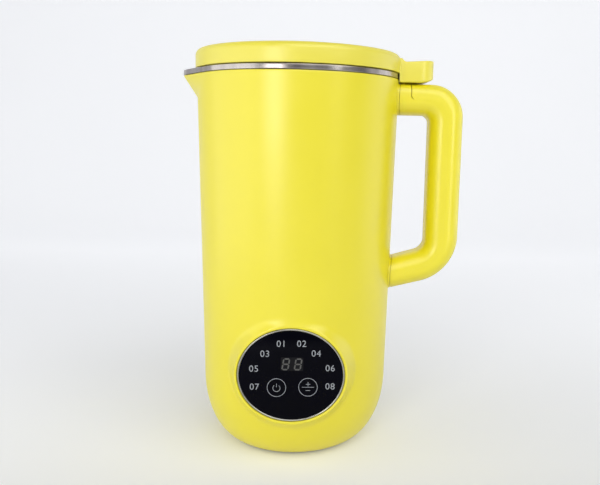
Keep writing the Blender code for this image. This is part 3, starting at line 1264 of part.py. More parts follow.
def build_blade(axis, steel):
    """Four-winged blade: two wings swept up and two swept down, on a round hub."""
    hub = cylinder(BLADE_HUB_RADIUS, BLADE_LOW, BLADE_TOP, 18)
    blade = piece("blade", hub, steel, axis)
    for i in range(4):
        rise = BLADE_UP_RISE if i % 2 == 0 else -BLADE_DOWN_DROP
        wing = tool(f"wing_form_{i}", wing_solid(math.radians(90 * i), rise), axis)
        combine(blade, wing, "UNION")
    bore = cylinder(SHAFT_RADIUS + CLEARANCE, BLADE_LOW - OVERRUN, BLADE_TOP + OVERRUN, 14)
    combine(blade, tool("blade_bore", bore, axis), "DIFFERENCE")


# Carrier, heater and shaft seal

def build_heater(jug, looks):
    """Carrier that hangs the motor under the cup, heater, its two sensors, seal seat and seal."""
    carrier = piece("motor_carrier", cylinder(CARRIER_RADIUS, CARRIER_LOW, CARRIER_TOP, 24),
                    looks["zinc"], jug)
    posts = []
    windows = []
    for i in range(CARRIER_POSTS):
        turn = math.tau * i / CARRIER_POSTS
        post = cylinder(CARRIER_POST_RADIUS, CARRIER_TOP - JOIN_DEPTH, HEATER_LOW - CLEARANCE, 8)
        place = (CARRIER_POST_CIRCLE * math.cos(turn), CARRIER_POST_CIRCLE * math.sin(turn), 0)
        posts.append(moved(post, place))
        for side in (-1, 1):
            away = turn + side * math.tau / (4 * CARRIER_POSTS)
            window = cylinder(CARRIER_WINDOW_RADIUS, CARRIER_LOW - OVERRUN, CARRIER_TOP + OVERRUN, 8)
            windows.append(moved(window, (CARRIER_WINDOW_CIRCLE * math.cos(away),
                                          CARRIER_WINDOW_CIRCLE * math.sin(away), 0)))
    combine(carrier, tool("carrier_posts", gather(posts), jug), "UNION")
    hub = cylinder(BEARING_RADIUS + HOUSING_WALL + 2 * CLEARANCE, CARRIER_LOW - OVERRUN,
                   CARRIER_TOP + OVERRUN, 16)
    combine(carrier, tool("carrier_windows", gather(windows + [hub]), jug), "DIFFERENCE")

    plate_bore = CUP_HOLE_RADIUS + CLEARANCE
    piece("heater_plate", tube(HEATER_PLATE_RADIUS, plate_bore, HEATER_LOW, HEATER_TOP, 24),
          looks["aluminium"], jug)
    half_open = math.radians(HEATER_OPEN_DEG / 2)
    count = 18
    points = []
    for i in range(count + 1):
        turn = half_open + (math.tau - 2 * half_open) * i / count
        points.append((HEATER_RING_RADIUS * math.cos(turn), HEATER_RING_RADIUS * math.sin(turn),
                       TUBE_LOW + HEATER_TUBE_RADIUS))
    wire("heater_tube", points, HEATER_TUBE_RADIUS, looks["steel"], jug, False, 2)
    top = HEATER_LOW - CLEARANCE
    piece("temp_sensor", cylinder(SENSOR_RADIUS, top - SENSOR_HEIGHT, top, 16), looks["steel"], jug,
          (0, SENSOR_PLACE, 0))
    piece("thermal_cutout", cylinder(CUTOUT_RADIUS, top - CUTOUT_HEIGHT, top, 16), looks["black"], jug,
          (0, -SENSOR_PLACE, 0))

    seat_out = CUP_HOLE_RADIUS - CLEARANCE
    seat_in = seat_out - SEAT_WALL
    seat_low = HEATER_LOW - SEAT_TAIL
    flange_low = CUP_FLOOR + CLEARANCE
    seat = [(seat_in, seat_low), (seat_out, seat_low), (seat_out, flange_low),
            (SEAT_FLANGE_RADIUS, flange_low), (SEAT_FLANGE_RADIUS, SEAT_TOP), (seat_in, SEAT_TOP)]
    piece("seal_seat", lathe(seat, 16), looks["steel"], jug)
    seal_out = seat_in - CLEARANCE
    seal_in = SHAFT_RADIUS + CLEARANCE
    thin = (seal_out - seal_in) / 2
    seal = [(seal_in, seat_low), (seal_out, seat_low), (seal_out, SEAT_TOP),
            (seal_in + thin, SEAT_TOP), (seal_in + thin / 2, SEAL_TOP), (seal_in, SEAL_TOP)]
    piece("shaft_seal", lathe(seal, 16), looks["silicone"], jug)


# Power board and mains inlet

def build_electrics(jug, looks):
    """Power board against its ribs, with relay and capacitor, and the mains inlet."""
    low = BASE_TOP + POWER_BOARD_LIFT
    back = -(POWER_BOARD_PLACE + BOARD_THICKNESS)
    face = rectangle(POWER_BOARD_HALF_WIDTH, POWER_BOARD_HEIGHT / 2, (0, low + POWER_BOARD_HEIGHT / 2))
    board = prism(face, back, -POWER_BOARD_PLACE, "X")
    piece("power_board", board, looks["board"], jug)
    for name, size, offset, look in (("relay", RELAY_SIZE, RELAY_OFFSET, looks["black"]),
                                     ("filter_capacitor", CAPACITOR_SIZE, CAPACITOR_OFFSET, looks["beige"])):
        deep, wide, tall = size
        start = -POWER_BOARD_PLACE + CLEARANCE
        centre = (offset, low + PART_LIFT + tall / 2)
        piece(name, prism(rectangle(wide / 2, tall / 2, centre), start, start + deep, "X"), look, jug)

    back = INLET_FRONT - INLET_DEPTH
    outer = rounded(INLET_HALF_WIDTH, INLET_HALF_HEIGHT, INLET_CORNER, (0, INLET_HEIGHT))
    housing = piece("inlet_housing", prism(outer, back, INLET_FRONT, "Y"), looks["black"], jug)
    recess = rounded(INLET_HALF_WIDTH - INLET_WALL, INLET_HALF_HEIGHT - INLET_WALL,
                     INLET_CORNER - INLET_WALL / 2, (0, INLET_HEIGHT))
    combine(housing, tool("inlet_recess", prism(recess, back + INLET_BACK, INLET_FRONT + OVERRUN, "Y"), jug),
            "DIFFERENCE")
    places = [(-PIN_SPREAD, INLET_HEIGHT - PIN_RISE / 2), (0, INLET_HEIGHT + PIN_RISE / 2),
              (PIN_SPREAD, INLET_HEIGHT - PIN_RISE / 2)]
    slots = [prism(rectangle(PIN_HALF_WIDTH + CLEARANCE, PIN_HALF_HEIGHT + CLEARANCE, place),
                   back - OVERRUN, back + INLET_BACK + OVERRUN, "Y") for place in places]
    combine(housing, tool("pin_slots", gather(slots), jug), "DIFFERENCE")
    tail = back - PIN_TAIL
    for name, place in zip(("inlet_pin_live", "inlet_pin_earth", "inlet_pin_neutral"), places):
        pin = prism(rectangle(PIN_HALF_WIDTH, PIN_HALF_HEIGHT, place), tail, back + PIN_LENGTH, "Y")
        piece(name, pin, looks["brass"], jug)


def clear_scene():
    """Start from an empty scene."""
    for existing in list(bpy.data.objects):
        bpy.data.objects.remove(existing, do_unlink=True)


def make_looks():
    """The materials, by the names that the builders use."""
    return {
        "yellow": material("yellow_plastic", YELLOW, 0.38),
        "steel": material("brushed_steel", STEEL, 0.3, 1.0),
        "chrome": material("trim_metal", STEEL, 0.2, 1.0),
        "lens": material("lens_black", BLACK, 0.08),
        "black": material("black_plastic", BLACK, 0.5),
        "rubber": material("foot_rubber", BLACK, 0.8),
        "silicone": material("clear_silicone", SILICONE, 0.55),
        "liner": material("liner_plastic", SILICONE, 0.45),
        "copper": material("copper_wire", COPPER, 0.35, 1.0),
        "brass": material("brass", (0.75, 0.55, 0.25), 0.35, 1.0),
        "carbon": material("carbon", (0.04, 0.04, 0.04), 0.7),
        "lamination": material("lamination_steel", GREY, 0.5, 0.8),
        "aluminium": material("cast_aluminium", ZINC, 0.45, 1.0),
        "zinc": material("zinc_plate", ZINC, 0.35, 1.0),
        "board": material("circuit_board", GREEN, 0.5),
        "beige": material("capacitor_case", BEIGE, 0.5),
    }


def main():
    clear_scene()
    looks = make_looks()
    jug = empty("jug_axis", (JUG_AXIS_X, 0, 0))
    build_shell(jug, looks["yellow"])
    build_cup(jug, looks["steel"])
    build_base(jug, looks)
    build_handle(jug, looks["yellow"], looks["zinc"])
    build_interlock(jug, looks["black"], looks["zinc"])
    build_panel(jug, looks)
    build_heater(jug, looks)
    build_stator(jug, looks)
    build_brushes(jug, looks)
    build_rotor(empty("rotor_axis", (0, 0, 0), jug), looks)
    build_lid(empty("lid_guide", (0, 0, 0), jug), looks)
    build_electrics(jug, looks)


main()
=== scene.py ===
"""Looks of the nut milk maker: fine outer pieces, materials, light and camera."""

import math

import bmesh
import bpy
from mathutils import Matrix, Vector


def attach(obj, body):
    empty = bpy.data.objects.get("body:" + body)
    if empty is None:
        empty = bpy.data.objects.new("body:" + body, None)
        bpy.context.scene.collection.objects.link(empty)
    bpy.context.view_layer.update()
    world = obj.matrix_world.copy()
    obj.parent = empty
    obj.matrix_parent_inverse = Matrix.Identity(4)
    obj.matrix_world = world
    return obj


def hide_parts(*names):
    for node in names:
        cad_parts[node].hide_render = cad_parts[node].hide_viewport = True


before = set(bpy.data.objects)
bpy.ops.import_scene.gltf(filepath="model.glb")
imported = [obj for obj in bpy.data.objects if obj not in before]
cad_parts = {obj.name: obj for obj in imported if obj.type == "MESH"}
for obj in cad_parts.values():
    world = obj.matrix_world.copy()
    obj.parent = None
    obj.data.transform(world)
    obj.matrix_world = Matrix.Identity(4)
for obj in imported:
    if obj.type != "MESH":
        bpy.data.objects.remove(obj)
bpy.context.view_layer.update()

# Sizes shared with the solids, in metres
AXIS_X = -0.01585
BODY_LOW_RADIUS = 0.0589
BODY_TOP_RADIUS = 0.0626
BODY_TOP = 0.2302
CORNER_WIDTH = 0.024
CORNER_HEIGHT = 0.0425
SHELL_BOTTOM = 0.001
SHELL_WALL = 0.0024
OPENING_RADIUS = 0.03858
LIP_TOP = 0.0032
SPOUT_REACH = 0.0092
SPOUT_HEIGHT = 0.0155
SPOUT_TIP_DEG = 3.5
SPOUT_EASE = 0.15
CLEAR = 0.0003

PANEL_HEIGHT = 0.0574
PANEL_HALF_WIDTH = 0.0313
PANEL_HALF_HEIGHT = 0.0279
PANEL_LIP = 0.0015
PANEL_FLARE = 0.006
TRIM_WIDTH = 0.0011
LEDGE_WIDTH = 0.0024
LIP_FRONT = 0.060394
LENS_FRONT = LIP_FRONT - 0.0005
LENS_BACK = LENS_FRONT - 0.002
DISPLAY_FRONT = LENS_BACK - CLEAR
DISPLAY_BACK = DISPLAY_FRONT - 0.005

INLET_HEIGHT = 0.028
INLET_HALF_WIDTH = 0.0138
INLET_HALF_HEIGHT = 0.0102
INLET_CORNER = 0.003

RIM_LOW = BODY_TOP + CLEAR
RIM_TOP = RIM_LOW + 0.0032
LID_LOW = RIM_TOP + CLEAR
LID_SHOULDER = LID_LOW + 0.0078
LID_EDGE_RADIUS = 0.0036
LID_RADIUS = BODY_TOP_RADIUS + 0.0008
LID_DOME = 0.0046
LID_TOP = LID_SHOULDER + LID_EDGE_RADIUS + LID_DOME
LID_WALL = 0.0022

CUP_FLOOR = 0.0944
CUP_WALL = 0.0008
CUP_TOP_RADIUS = 0.0555
CUP_LOW_RADIUS = 0.0535

HANDLE_REACH = 0.1035
HANDLE_TOP = 0.2281
HANDLE_FOOT = 0.0984
HANDLE_DEPTH = 0.027
PLUNGER_PLACE = 0.0772
PARTING_REACH = 0.0697
GRIP_THICKNESS = 0.0213
ROOT_STAND = 0.0012

TAB_REACH = 0.0842
TAB_NOSE = 0.0105
NOSE_START = TAB_REACH - TAB_NOSE
TAB_HALF_WIDTH = 0.0128
TAB_DROP = 0.0089
LINER_RADIUS = 0.05
LINER_WALL = 0.0016
LINER_DEPTH = 0.0075
SEAL_HEIGHT = 0.0032

BOSS_CIRCLE = 0.0335
SCREW_CIRCLE = 0.03348
SCREW_TURNS = [math.radians(-90 + 120 * i) for i in range(3)]
FOOT_CIRCLE = 0.02998
FOOT_TURNS = [math.radians(45 + 90 * i) for i in range(4)]

# The handle's arms, which are a little thinner than in the solids
UPPER_ARM = 0.019
LOWER_ARM = 0.0197
FOOT_DROP = 0.0002
# For each outline: slope of the lower arm in degrees, radii of the shoulder and the elbow
OUTER_BENDS = (13.8, 0.02, 0.0305)
INNER_BENDS = (15.8, 0.0045, 0.0078)
SCREW_HEIGHTS = (HANDLE_TOP - 0.0136, HANDLE_FOOT + 0.0122)
# How far tools reach past the handle
PAST_HANDLE = 0.006

# Columns round the jug as (first degree, step, count), fine over the beak, and steps up its wall
COLUMNS = ((-36, 0.75, 96), (36, 2.0, 144))
CORNER_STEPS = 26
WALL_STEPS = 44
BEAK_STEPS = 18
OVAL_TURNS = [math.tau * i / 200 for i in range(200)]
# Windows in that grid: middle and half width in degrees, low and high in metres
PANEL_WINDOW = (90, 48, 0.0165, 0.0985)
INLET_WINDOW = (270, 22, 0.0125, 0.0435)

# Small edges: a plain bevel, and the round at the jug's top
BEVEL = 0.0001
TOP_EDGE = 0.0004
SHARP_DEG = 35.0


# Mesh helpers

def new_object(name, data):
    """An object in the scene."""
    made = bpy.data.objects.new(name, data)
    bpy.context.scene.collection.objects.link(made)
    return made


def link(name, bm, look=None, body=None, sharp_deg=SHARP_DEG, place=(AXIS_X, 0.0, 0.0)):
    """An object from a bmesh. A finished piece has a material, and rides on a body."""
    bmesh.ops.recalc_face_normals(bm, faces=bm.faces)
    mesh = bpy.data.meshes.new(name)
    bm.to_mesh(mesh)
    bm.free()
    mesh.transform(Matrix.Translation(place))
    mesh.shade_smooth()
    mesh.set_sharp_from_angle(angle=math.radians(sharp_deg))
    made = new_object(name, mesh)
    if look is not None:
        mesh.materials.append(look)
    if body is not None:
        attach(made, body)
    return made


def evaluated(made):
    """The mesh that an object shows."""
    graph = bpy.context.evaluated_depsgraph_get()
    return bpy.data.meshes.new_from_object(made.evaluated_get(graph))


def boolean(target, other, operation):
    """Apply a Boolean with another object, which is then removed."""
    change = target.modifiers.new("change", "BOOLEAN")
    change.operation = operation
    change.solver = "EXACT"
    change.object = other
    mesh = evaluated(target)
    target.modifiers.clear()
    old = target.data
    target.data = mesh
    mesh.name = target.name
    bpy.data.meshes.remove(old)
    mesh.shade_smooth()
    mesh.set_sharp_from_angle(angle=math.radians(SHARP_DEG))
    bpy.data.objects.remove(other, do_unlink=True)


def carve(target, bm, operation="DIFFERENCE"):
    """Apply a Boolean with a bmesh as the tool."""
    boolean(target, link("tool", bm), operation)


def lathe(profile, steps):
    """Spin (radius, height) points about Z."""
    bm = bmesh.new()
    verts = [bm.verts.new((r, 0, z)) for r, z in profile]
    pairs = list(zip(verts, verts[1:]))
    if profile[0][0] or profile[-1][0]:
        pairs.append((verts[-1], verts[0]))
    edges = [bm.edges.new(pair) for pair in pairs]
    bmesh.ops.spin(bm, geom=verts + edges, cent=(0, 0, 0), axis=(0, 0, 1),
                   angle=math.tau, steps=steps, use_merge=True)
    bmesh.ops.remove_doubles(bm, verts=bm.verts, dist=1e-7)
    return bm


def rod(radius, low, high, steps):
    """A plain cylinder on Z."""
    return lathe([(0, low), (radius, low), (radius, high), (0, high)], steps)


def stepped(wide, narrow, low, step, high, steps):
    """A cylinder on Z that is narrower above a step."""
    return lathe([(0, low), (wide, low), (wide, step), (narrow, step), (narrow, high), (0, high)],
                 steps)


def stitch(bm, rows):
    """Quads between closed rows of vertices."""
    for low, high in zip(rows, rows[1:]):
        for i in range(len(low)):
            j = (i + 1) % len(low)
            bm.faces.new((low[i], low[j], high[j], high[i]))


def loft(rings, closed=False):
    """Quads between rings of points, and a face on each end of an open one."""
    bm = bmesh.new()
    rows = [[bm.verts.new(p) for p in ring] for ring in rings]
    stitch(bm, rows + rows[:1] if closed else rows)
    if not closed:
        bm.faces.new(rows[0])
        bm.faces.new(rows[-1])
    return bm


def prism(outline, low, high, axis="Z"):
    """Extrude an outline of the plan along Z, or one of the front view along Y."""
    return loft([[(a, along, b) if axis == "Y" else (a, b, along) for a, b in outline]
                 for along in (low, high)])


def block(x0, x1, y0, y1, low, high):
    """A box."""
    return prism([(x0, y0), (x1, y0), (x1, y1), (x0, y1)], low, high)


def arc(centre, radius, start, end, steps):
    """Points on an arc in a plane, angles in degrees."""
    turns = [math.radians(start + (end - start) * i / steps) for i in range(steps + 1)]
    return [(centre[0] + radius * math.cos(t), centre[1] + radius * math.sin(t)) for t in turns]


def between(a, b, steps):
    """Points on a straight line, without its ends."""
    return [(a[0] + (b[0] - a[0]) * i / steps, a[1] + (b[1] - a[1]) * i / steps)
            for i in range(1, steps)]


def rounded(half_w, half_h, corner, centre=(0.0, 0.0), steps=8):
    """A rectangle's outline with round corners."""
    points = []
    for quarter, (sx, sy) in enumerate(((1, 1), (-1, 1), (-1, -1), (1, -1))):
        middle = (centre[0] + sx * (half_w - corner), centre[1] + sy * (half_h - corner))
        points += arc(middle, corner, 90 * quarter, 90 * quarter + 90, steps)
    return points


def circle_point(radius, turn):
    """A place on a circle about the jug's axis."""
    return radius * math.cos(turn), radius * math.sin(turn), 0


def clamped(share):
    """A share held between 0 and 1."""
    return max(0.0, min(1.0, share))


def merge(target, source):
    """Add one bmesh to another."""
    scratch = bpy.data.meshes.new("scratch")
    source.to_mesh(scratch)
    source.free()
    target.from_mesh(scratch)
    bpy.data.meshes.remove(scratch)


def shifted(bm, place=(0, 0, 0), turn=0.0, axis="Z"):
    """Turn a bmesh about an axis and move it."""
    matrix = Matrix.Translation(place) @ Matrix.Rotation(turn, 4, axis)
    bmesh.ops.transform(bm, matrix=matrix, verts=bm.verts)
    return bm


# Materials

def put(node, **values):
    """Set inputs of a node by name, with underscores for spaces."""
    for key, value in values.items():
        node.inputs[key.replace("_", " ")].default_value = value
    return node


class Look:
    """Builds one node material."""

    def __init__(self, name):
        self.material = bpy.data.materials.new(name)
        self.material.use_nodes = True
        self.tree = self.material.node_tree
        self.shader = self.tree.nodes["Principled BSDF"]
        self.where = self.node("ShaderNodeTexCoord").outputs["Object"]

    def node(self, kind, **values):
        return put(self.tree.nodes.new(kind), **values)

    def join(self, out, into):
        self.tree.links.new(out, into)

    def drive(self, name, out):
        self.join(out, self.shader.inputs[name])

    def noise(self, scale, detail, stretch=(1, 1, 1)):
        """Noise over the surface, 0 to 1, with a stretch for each axis."""
        mapping = self.node("ShaderNodeMapping", Scale=stretch)
        self.join(self.where, mapping.inputs["Vector"])
        made = self.node("ShaderNodeTexNoise", Scale=scale, Detail=detail)
        self.join(mapping.outputs["Vector"], made.inputs["Vector"])
        return made.outputs["Fac"]

    def span(self, value, low, high, start=0.3, end=0.7):
        """Map a value onto a range."""
        made = self.node("ShaderNodeMapRange", From_Min=start, From_Max=end,
                         To_Min=low, To_Max=high)
        self.join(value, made.inputs["Value"])
        return made.outputs["Result"]

    def mix(self, value, first, second):
        """Blend two colours by a value."""
        made = self.node("ShaderNodeMix")
        made.data_type = "RGBA"
        made.inputs[6].default_value = (*first, 1)
        made.inputs[7].default_value = (*second, 1)
        self.join(value, made.inputs[0])
        return made.outputs[2]

    def combine(self, operation, first, second, clamp=False):
        """Arithmetic on a value and another value or a number."""
        made = self.node("ShaderNodeMath")
        made.operation = operation
        made.use_clamp = clamp
        self.join(first, made.inputs[0])
        if isinstance(second, float):
            made.inputs[1].default_value = second
        else:
            self.join(second, made.inputs[1])
        return made.outputs[0]

    def bump(self, value, strength, distance):
        """Relief that follows a value."""
        made = self.node("ShaderNodeBump", Strength=strength, Distance=distance)
        self.join(value, made.inputs["Height"])
        self.drive("Normal", made.outputs["Normal"])


def surface(name, first, second, rough, stretch=(1, 1, 1), scale=120.0, metallic=0.0,
            grain=1800.0, strength=0.12, distance=0.00004, **more):
    """A material whose colour, gloss and relief all vary over the surface."""
    look = Look(name)
    broad = look.noise(scale, 4.0, stretch)
    look.drive("Base Color", look.mix(look.span(broad, 0, 1), first, second))
    look.drive("Roughness", look.span(broad, *rough))
    look.bump(look.noise(grain, 2.0, stretch), strength, distance)
    put(look.shader, Metallic=metallic, **more)
    return look.material


def striped(name, first, second, rough, direction, period, metallic, depth=0.3):
    """A material with fine bands, such as turns of wire or stacked sheets."""
    bands_per_metre = 3.2
    look = Look(name)
    wave = look.node("ShaderNodeTexWave", Scale=1.0 / period / bands_per_metre, Distortion=0.6,
                     Detail=1.0)
    wave.bands_direction = direction
    look.join(look.where, wave.inputs["Vector"])
    look.drive("Base Color", look.mix(wave.outputs["Fac"], first, second))
    look.drive("Roughness", look.span(wave.outputs["Fac"], *rough, 0, 1))
    look.bump(wave.outputs["Fac"], depth, 0.0001)
    put(look.shader, Metallic=metallic)
    return look.material


satin = dict(scale=40, grain=2600, strength=0.1, distance=0.00003, Specular_IOR_Level=1.0)
yellow = surface(
    "satin_yellow_plastic", (0.805, 0.705, 0.007), (0.825, 0.72, 0.01), (0.32, 0.38), **satin)
# The lid's yellow is a paler, whiter copy of the jug's yellow: the extra whiteness is painted
# sheen for the broad reflection on the lid
lid_yellow_painted_sheen = surface(
    "satin_yellow_lid_painted_sheen", (0.785, 0.695, 0.045), (0.805, 0.71, 0.055), (0.34, 0.4), **satin)
# The rim steel's colour runs in vertical patches from dark brown-grey to pale: painted reflections
# of the surroundings. Only the fine stretched grain in its relief is brushing
steel = surface(
    "brushed_steel_rim_painted_reflections", (0.2, 0.17, 0.17), (0.62, 0.58, 0.54), (0.18, 0.28),
    stretch=(1, 1, 0.1), scale=55, metallic=1, grain=90, strength=0.1, distance=0.00002)
bowl_steel = surface(
    "satin_cup_steel", (0.54, 0.53, 0.52), (0.62, 0.61, 0.6), (0.26, 0.36),
    stretch=(1, 1, 30), scale=60, metallic=1, grain=90, strength=0.12, distance=0.00002)
blade_steel = surface(
    "ground_blade_steel", (0.6, 0.6, 0.61), (0.7, 0.7, 0.71), (0.2, 0.32),
    stretch=(6, 1, 1), scale=200, metallic=1, grain=500, strength=0.15)
chrome = surface(
    "satin_trim_metal", (0.4, 0.39, 0.33), (0.5, 0.49, 0.42), (0.18, 0.26),
    scale=300, metallic=1, grain=2500, strength=0.06, distance=0.00002)
lens = surface(
    "smoked_lens", (0.0006, 0.0006, 0.0024), (0.001, 0.001, 0.0036), (0.07, 0.11),
    scale=30, grain=900, strength=0.02, distance=0.00002, Specular_IOR_Level=0.06)
window = surface(
    "display_window", (0.0085, 0.0085, 0.01), (0.0105, 0.0105, 0.012), (0.14, 0.18),
    scale=200, grain=2600, strength=0.05, distance=0.00001, Specular_IOR_Level=0.06)
segments = surface(
    "unlit_segments", (0.07, 0.07, 0.066), (0.088, 0.088, 0.083), (0.3, 0.36),
    scale=400, grain=3000, strength=0.05, distance=0.00001)
print_white = surface(
    "printed_marks", (0.27, 0.285, 0.31), (0.33, 0.35, 0.375), (0.42, 0.5),
    scale=600, grain=3000, strength=0.08, distance=0.00001)
black = surface(
    "black_plastic", (0.02, 0.02, 0.022), (0.028, 0.028, 0.031), (0.45, 0.56),
    scale=200, strength=0.25)
rubber = surface(
    "foot_rubber", (0.026, 0.026, 0.027), (0.04, 0.04, 0.041), (0.72, 0.84),
    scale=400, grain=2200, strength=0.3)
silicone = surface(
    "milky_silicone", (0.7, 0.7, 0.66), (0.78, 0.78, 0.74), (0.42, 0.52),
    scale=150, grain=1500, strength=0.1)
liner_white = surface(
    "white_liner_plastic", (0.72, 0.71, 0.66), (0.78, 0.77, 0.72), (0.34, 0.42),
    scale=80, grain=2200, strength=0.1)
zinc = surface(
    "zinc_plated_steel", (0.46, 0.48, 0.5), (0.6, 0.61, 0.6), (0.3, 0.44),
    scale=500, metallic=1, grain=1500)
aluminium = surface(
    "cast_aluminium", (0.52, 0.53, 0.54), (0.62, 0.63, 0.64), (0.42, 0.58),
    scale=500, metallic=1, grain=900, strength=0.35)
brass = surface(
    "stamped_brass", (0.68, 0.48, 0.2), (0.78, 0.58, 0.28), (0.28, 0.38),
    scale=300, metallic=1, grain=1500)
carbon = surface(
    "graphite_brush", (0.035, 0.035, 0.037), (0.06, 0.06, 0.062), (0.5, 0.66),
    scale=900, grain=2400, strength=0.3)
beige = surface("capacitor_box", (0.62, 0.55, 0.4), (0.68, 0.61, 0.45), (0.4, 0.5), scale=200)
board = surface(
    "circuit_board", (0.015, 0.12, 0.045), (0.045, 0.24, 0.09), (0.28, 0.45),
    scale=260, grain=700, strength=0.3)
laminations = striped(
    "stacked_laminations", (0.15, 0.15, 0.16), (0.27, 0.27, 0.28), (0.4, 0.6), "Z", 0.0005, 0.8)
winding = striped(
    "enamelled_winding", (0.42, 0.14, 0.045), (0.74, 0.32, 0.12), (0.25, 0.4),
    "DIAGONAL", 0.0007, 1)
bars = striped(
    "commutator_bars", (0.62, 0.27, 0.11), (0.76, 0.36, 0.16), (0.2, 0.34), "Z", 0.0016, 1, 0.1)


# Jug surface

def body_radius(z, inset=0.0):
    """Outer radius of the jug, or of the surface inside its wall."""
    if z < CORNER_HEIGHT:
        drop = min(1.0, (CORNER_HEIGHT - z) / (CORNER_HEIGHT - inset))
        wide = (CORNER_WIDTH - inset) * math.sqrt(1.0 - drop * drop)
        return BODY_LOW_RADIUS - CORNER_WIDTH + wide
    rise = (z - CORNER_HEIGHT) / (BODY_TOP - CORNER_HEIGHT)
    return BODY_LOW_RADIUS + (BODY_TOP_RADIUS - BODY_LOW_RADIUS) * rise - inset


def spout_reach(z):
    """How far the beak stands out at a height."""
    rise = min(1.0, (z - (BODY_TOP - SPOUT_HEIGHT)) / SPOUT_HEIGHT)
    if rise <= 0:
        return 0.0
    eased = rise * rise / (2 * SPOUT_EASE) if rise < SPOUT_EASE else rise - SPOUT_EASE / 2
    return SPOUT_REACH * eased / (1 - SPOUT_EASE / 2)


def plan_radius(turn, radius, reach):
    """Radius of a round body with a beak, an angle away from the beak's tip."""
    if reach <= 0:
        return radius
    softness = math.radians(SPOUT_TIP_DEG)
    spread = math.acos(radius / (radius + reach)) + softness
    away = math.hypot(turn, softness)
    return radius / math.cos(spread - away) if away < spread else radius


TURNS = [math.radians(first + step * i) for first, step, count in COLUMNS for i in range(count)]
COUNT = len(TURNS)


def ring(radius, z, reach):
    """One ring of the jug, whose beak is on the left."""
    points = []
    for turn in TURNS:
        away = turn if turn <= math.pi else turn - math.tau
        wide = plan_radius(away, radius, reach)
        points.append((-wide * math.cos(turn), -wide * math.sin(turn), z))
    return points


def corner_rows():
    """Heights up the rounded bottom edge."""
    start = math.asin((CORNER_HEIGHT - SHELL_BOTTOM) / CORNER_HEIGHT)
    return [CORNER_HEIGHT - CORNER_HEIGHT * math.sin(start * (1 - i / CORNER_STEPS))
            for i in range(CORNER_STEPS + 1)]


def drum_rows():
    """Heights from the rounded edge to the top."""
    foot = BODY_TOP - SPOUT_HEIGHT
    plain = [CORNER_HEIGHT + (foot - CORNER_HEIGHT) * i / WALL_STEPS
             for i in range(1, WALL_STEPS + 1)]
    beak = [foot + (SPOUT_HEIGHT - TOP_EDGE) * i / BEAK_STEPS for i in range(1, BEAK_STEPS + 1)]
    return plain + beak


class Skin:
    """A wall of the jug as a grid of rings, with patches that are filled by rings of their own."""

    def __init__(self, bm, rows, inset):
        self.bm = bm
        self.rows = rows
        self.inset = inset
        self.patches = []
        self.grid = {}

    def surface_y(self, x, z):
        """How far the round wall stands from the jug's axis plane."""
        radius = body_radius(z, self.inset)
        return math.sqrt(max(0.0, radius * radius - x * x))

    def patch(self, middle_deg, half_deg, low, high):
        """Keep a window of the grid free, and return its border as (column, row) pairs."""
        columns = [c for c in range(COUNT)
                   if abs(math.degrees(TURNS[c]) - middle_deg) <= half_deg + 0.01]
        rows = [r for r, z in enumerate(self.rows) if low <= z <= high]
        first, last = columns[0], columns[-1]
        self.patches.append((first, last, rows[0], rows[-1]))
        border = [(c, rows[0]) for c in columns[:-1]]
        border += [(last, r) for r in rows[:-1]]
        border += [(c, rows[-1]) for c in reversed(columns[1:])]
        border += [(first, r) for r in reversed(rows[1:])]
        return border

    def inside(self, c, r):
        return any(a < c < b and low < r < high for a, b, low, high in self.patches)

    def build(self):
        """Vertices and faces of the grid outside its patches."""
        for r, z in enumerate(self.rows):
            points = ring(body_radius(z, self.inset), z, spout_reach(z))
            for c in range(COUNT):
                if not self.inside(c, r):
                    self.grid[c, r] = self.bm.verts.new(points[c])
        for r in range(len(self.rows) - 1):
            for c in range(COUNT):
                if any(a <= c < b and low <= r < high for a, b, low, high in self.patches):
                    continue
                d = (c + 1) % COUNT
                self.bm.faces.new((self.grid[c, r], self.grid[d, r],
                                   self.grid[d, r + 1], self.grid[c, r + 1]))

    def edge(self, border):
        return [self.grid[key] for key in border]


def panel_angle(x, z):
    """Angle round the panel's oval at which a point of its plane lies."""
    return math.atan2((z - PANEL_HEIGHT) / PANEL_HALF_HEIGHT, x / PANEL_HALF_WIDTH)


def oval(growth, angle):
    """A point of the panel's oval, grown by a width."""
    return ((PANEL_HALF_WIDTH + growth) * math.cos(angle),
            PANEL_HEIGHT + (PANEL_HALF_HEIGHT + growth) * math.sin(angle))


def flare_height(share):
    """How proud the boss still stands, from 1 at its lip to 0 where it runs out."""
    soft = 0.05
    eased = (math.hypot(share, soft) - soft) / (math.hypot(1.0, soft) - soft)
    return (1.0 - eased) ** 2


def blended(skin, first, border, steps, side):
    """Rows of vertices that spread from a closed row to the grid's window."""
    start = [(v.co.x, v.co.z) for v in first]
    ends = [v.co for v in skin.edge(border)]
    rows = []
    for k in range(1, steps):
        share = k / steps
        row = []
        for (x, z), end in zip(start, ends):
            px = x + (end.x - x) * share
            pz = z + (end.z - z) * share
            row.append(skin.bm.verts.new((px, side * skin.surface_y(px, pz), pz)))
        rows.append(row)
    rows.append(skin.edge(border))
    return rows


def inlet_point(growth, x, z):
    """The point of the inlet's outline that lies towards a point."""
    dx, dz = x, z - INLET_HEIGHT
    half_w, half_h, corner = INLET_HALF_WIDTH + growth, INLET_HALF_HEIGHT + growth, INLET_CORNER
    low, high = 0.0, 1.0
    for _ in range(40):
        t = (low + high) / 2
        ax = max(abs(dx * t) - (half_w - corner), 0.0)
        az = max(abs(dz * t) - (half_h - corner), 0.0)
        if math.hypot(ax, az) < corner:
            low = t
        else:
            high = t
    return dx * low, INLET_HEIGHT + dz * low


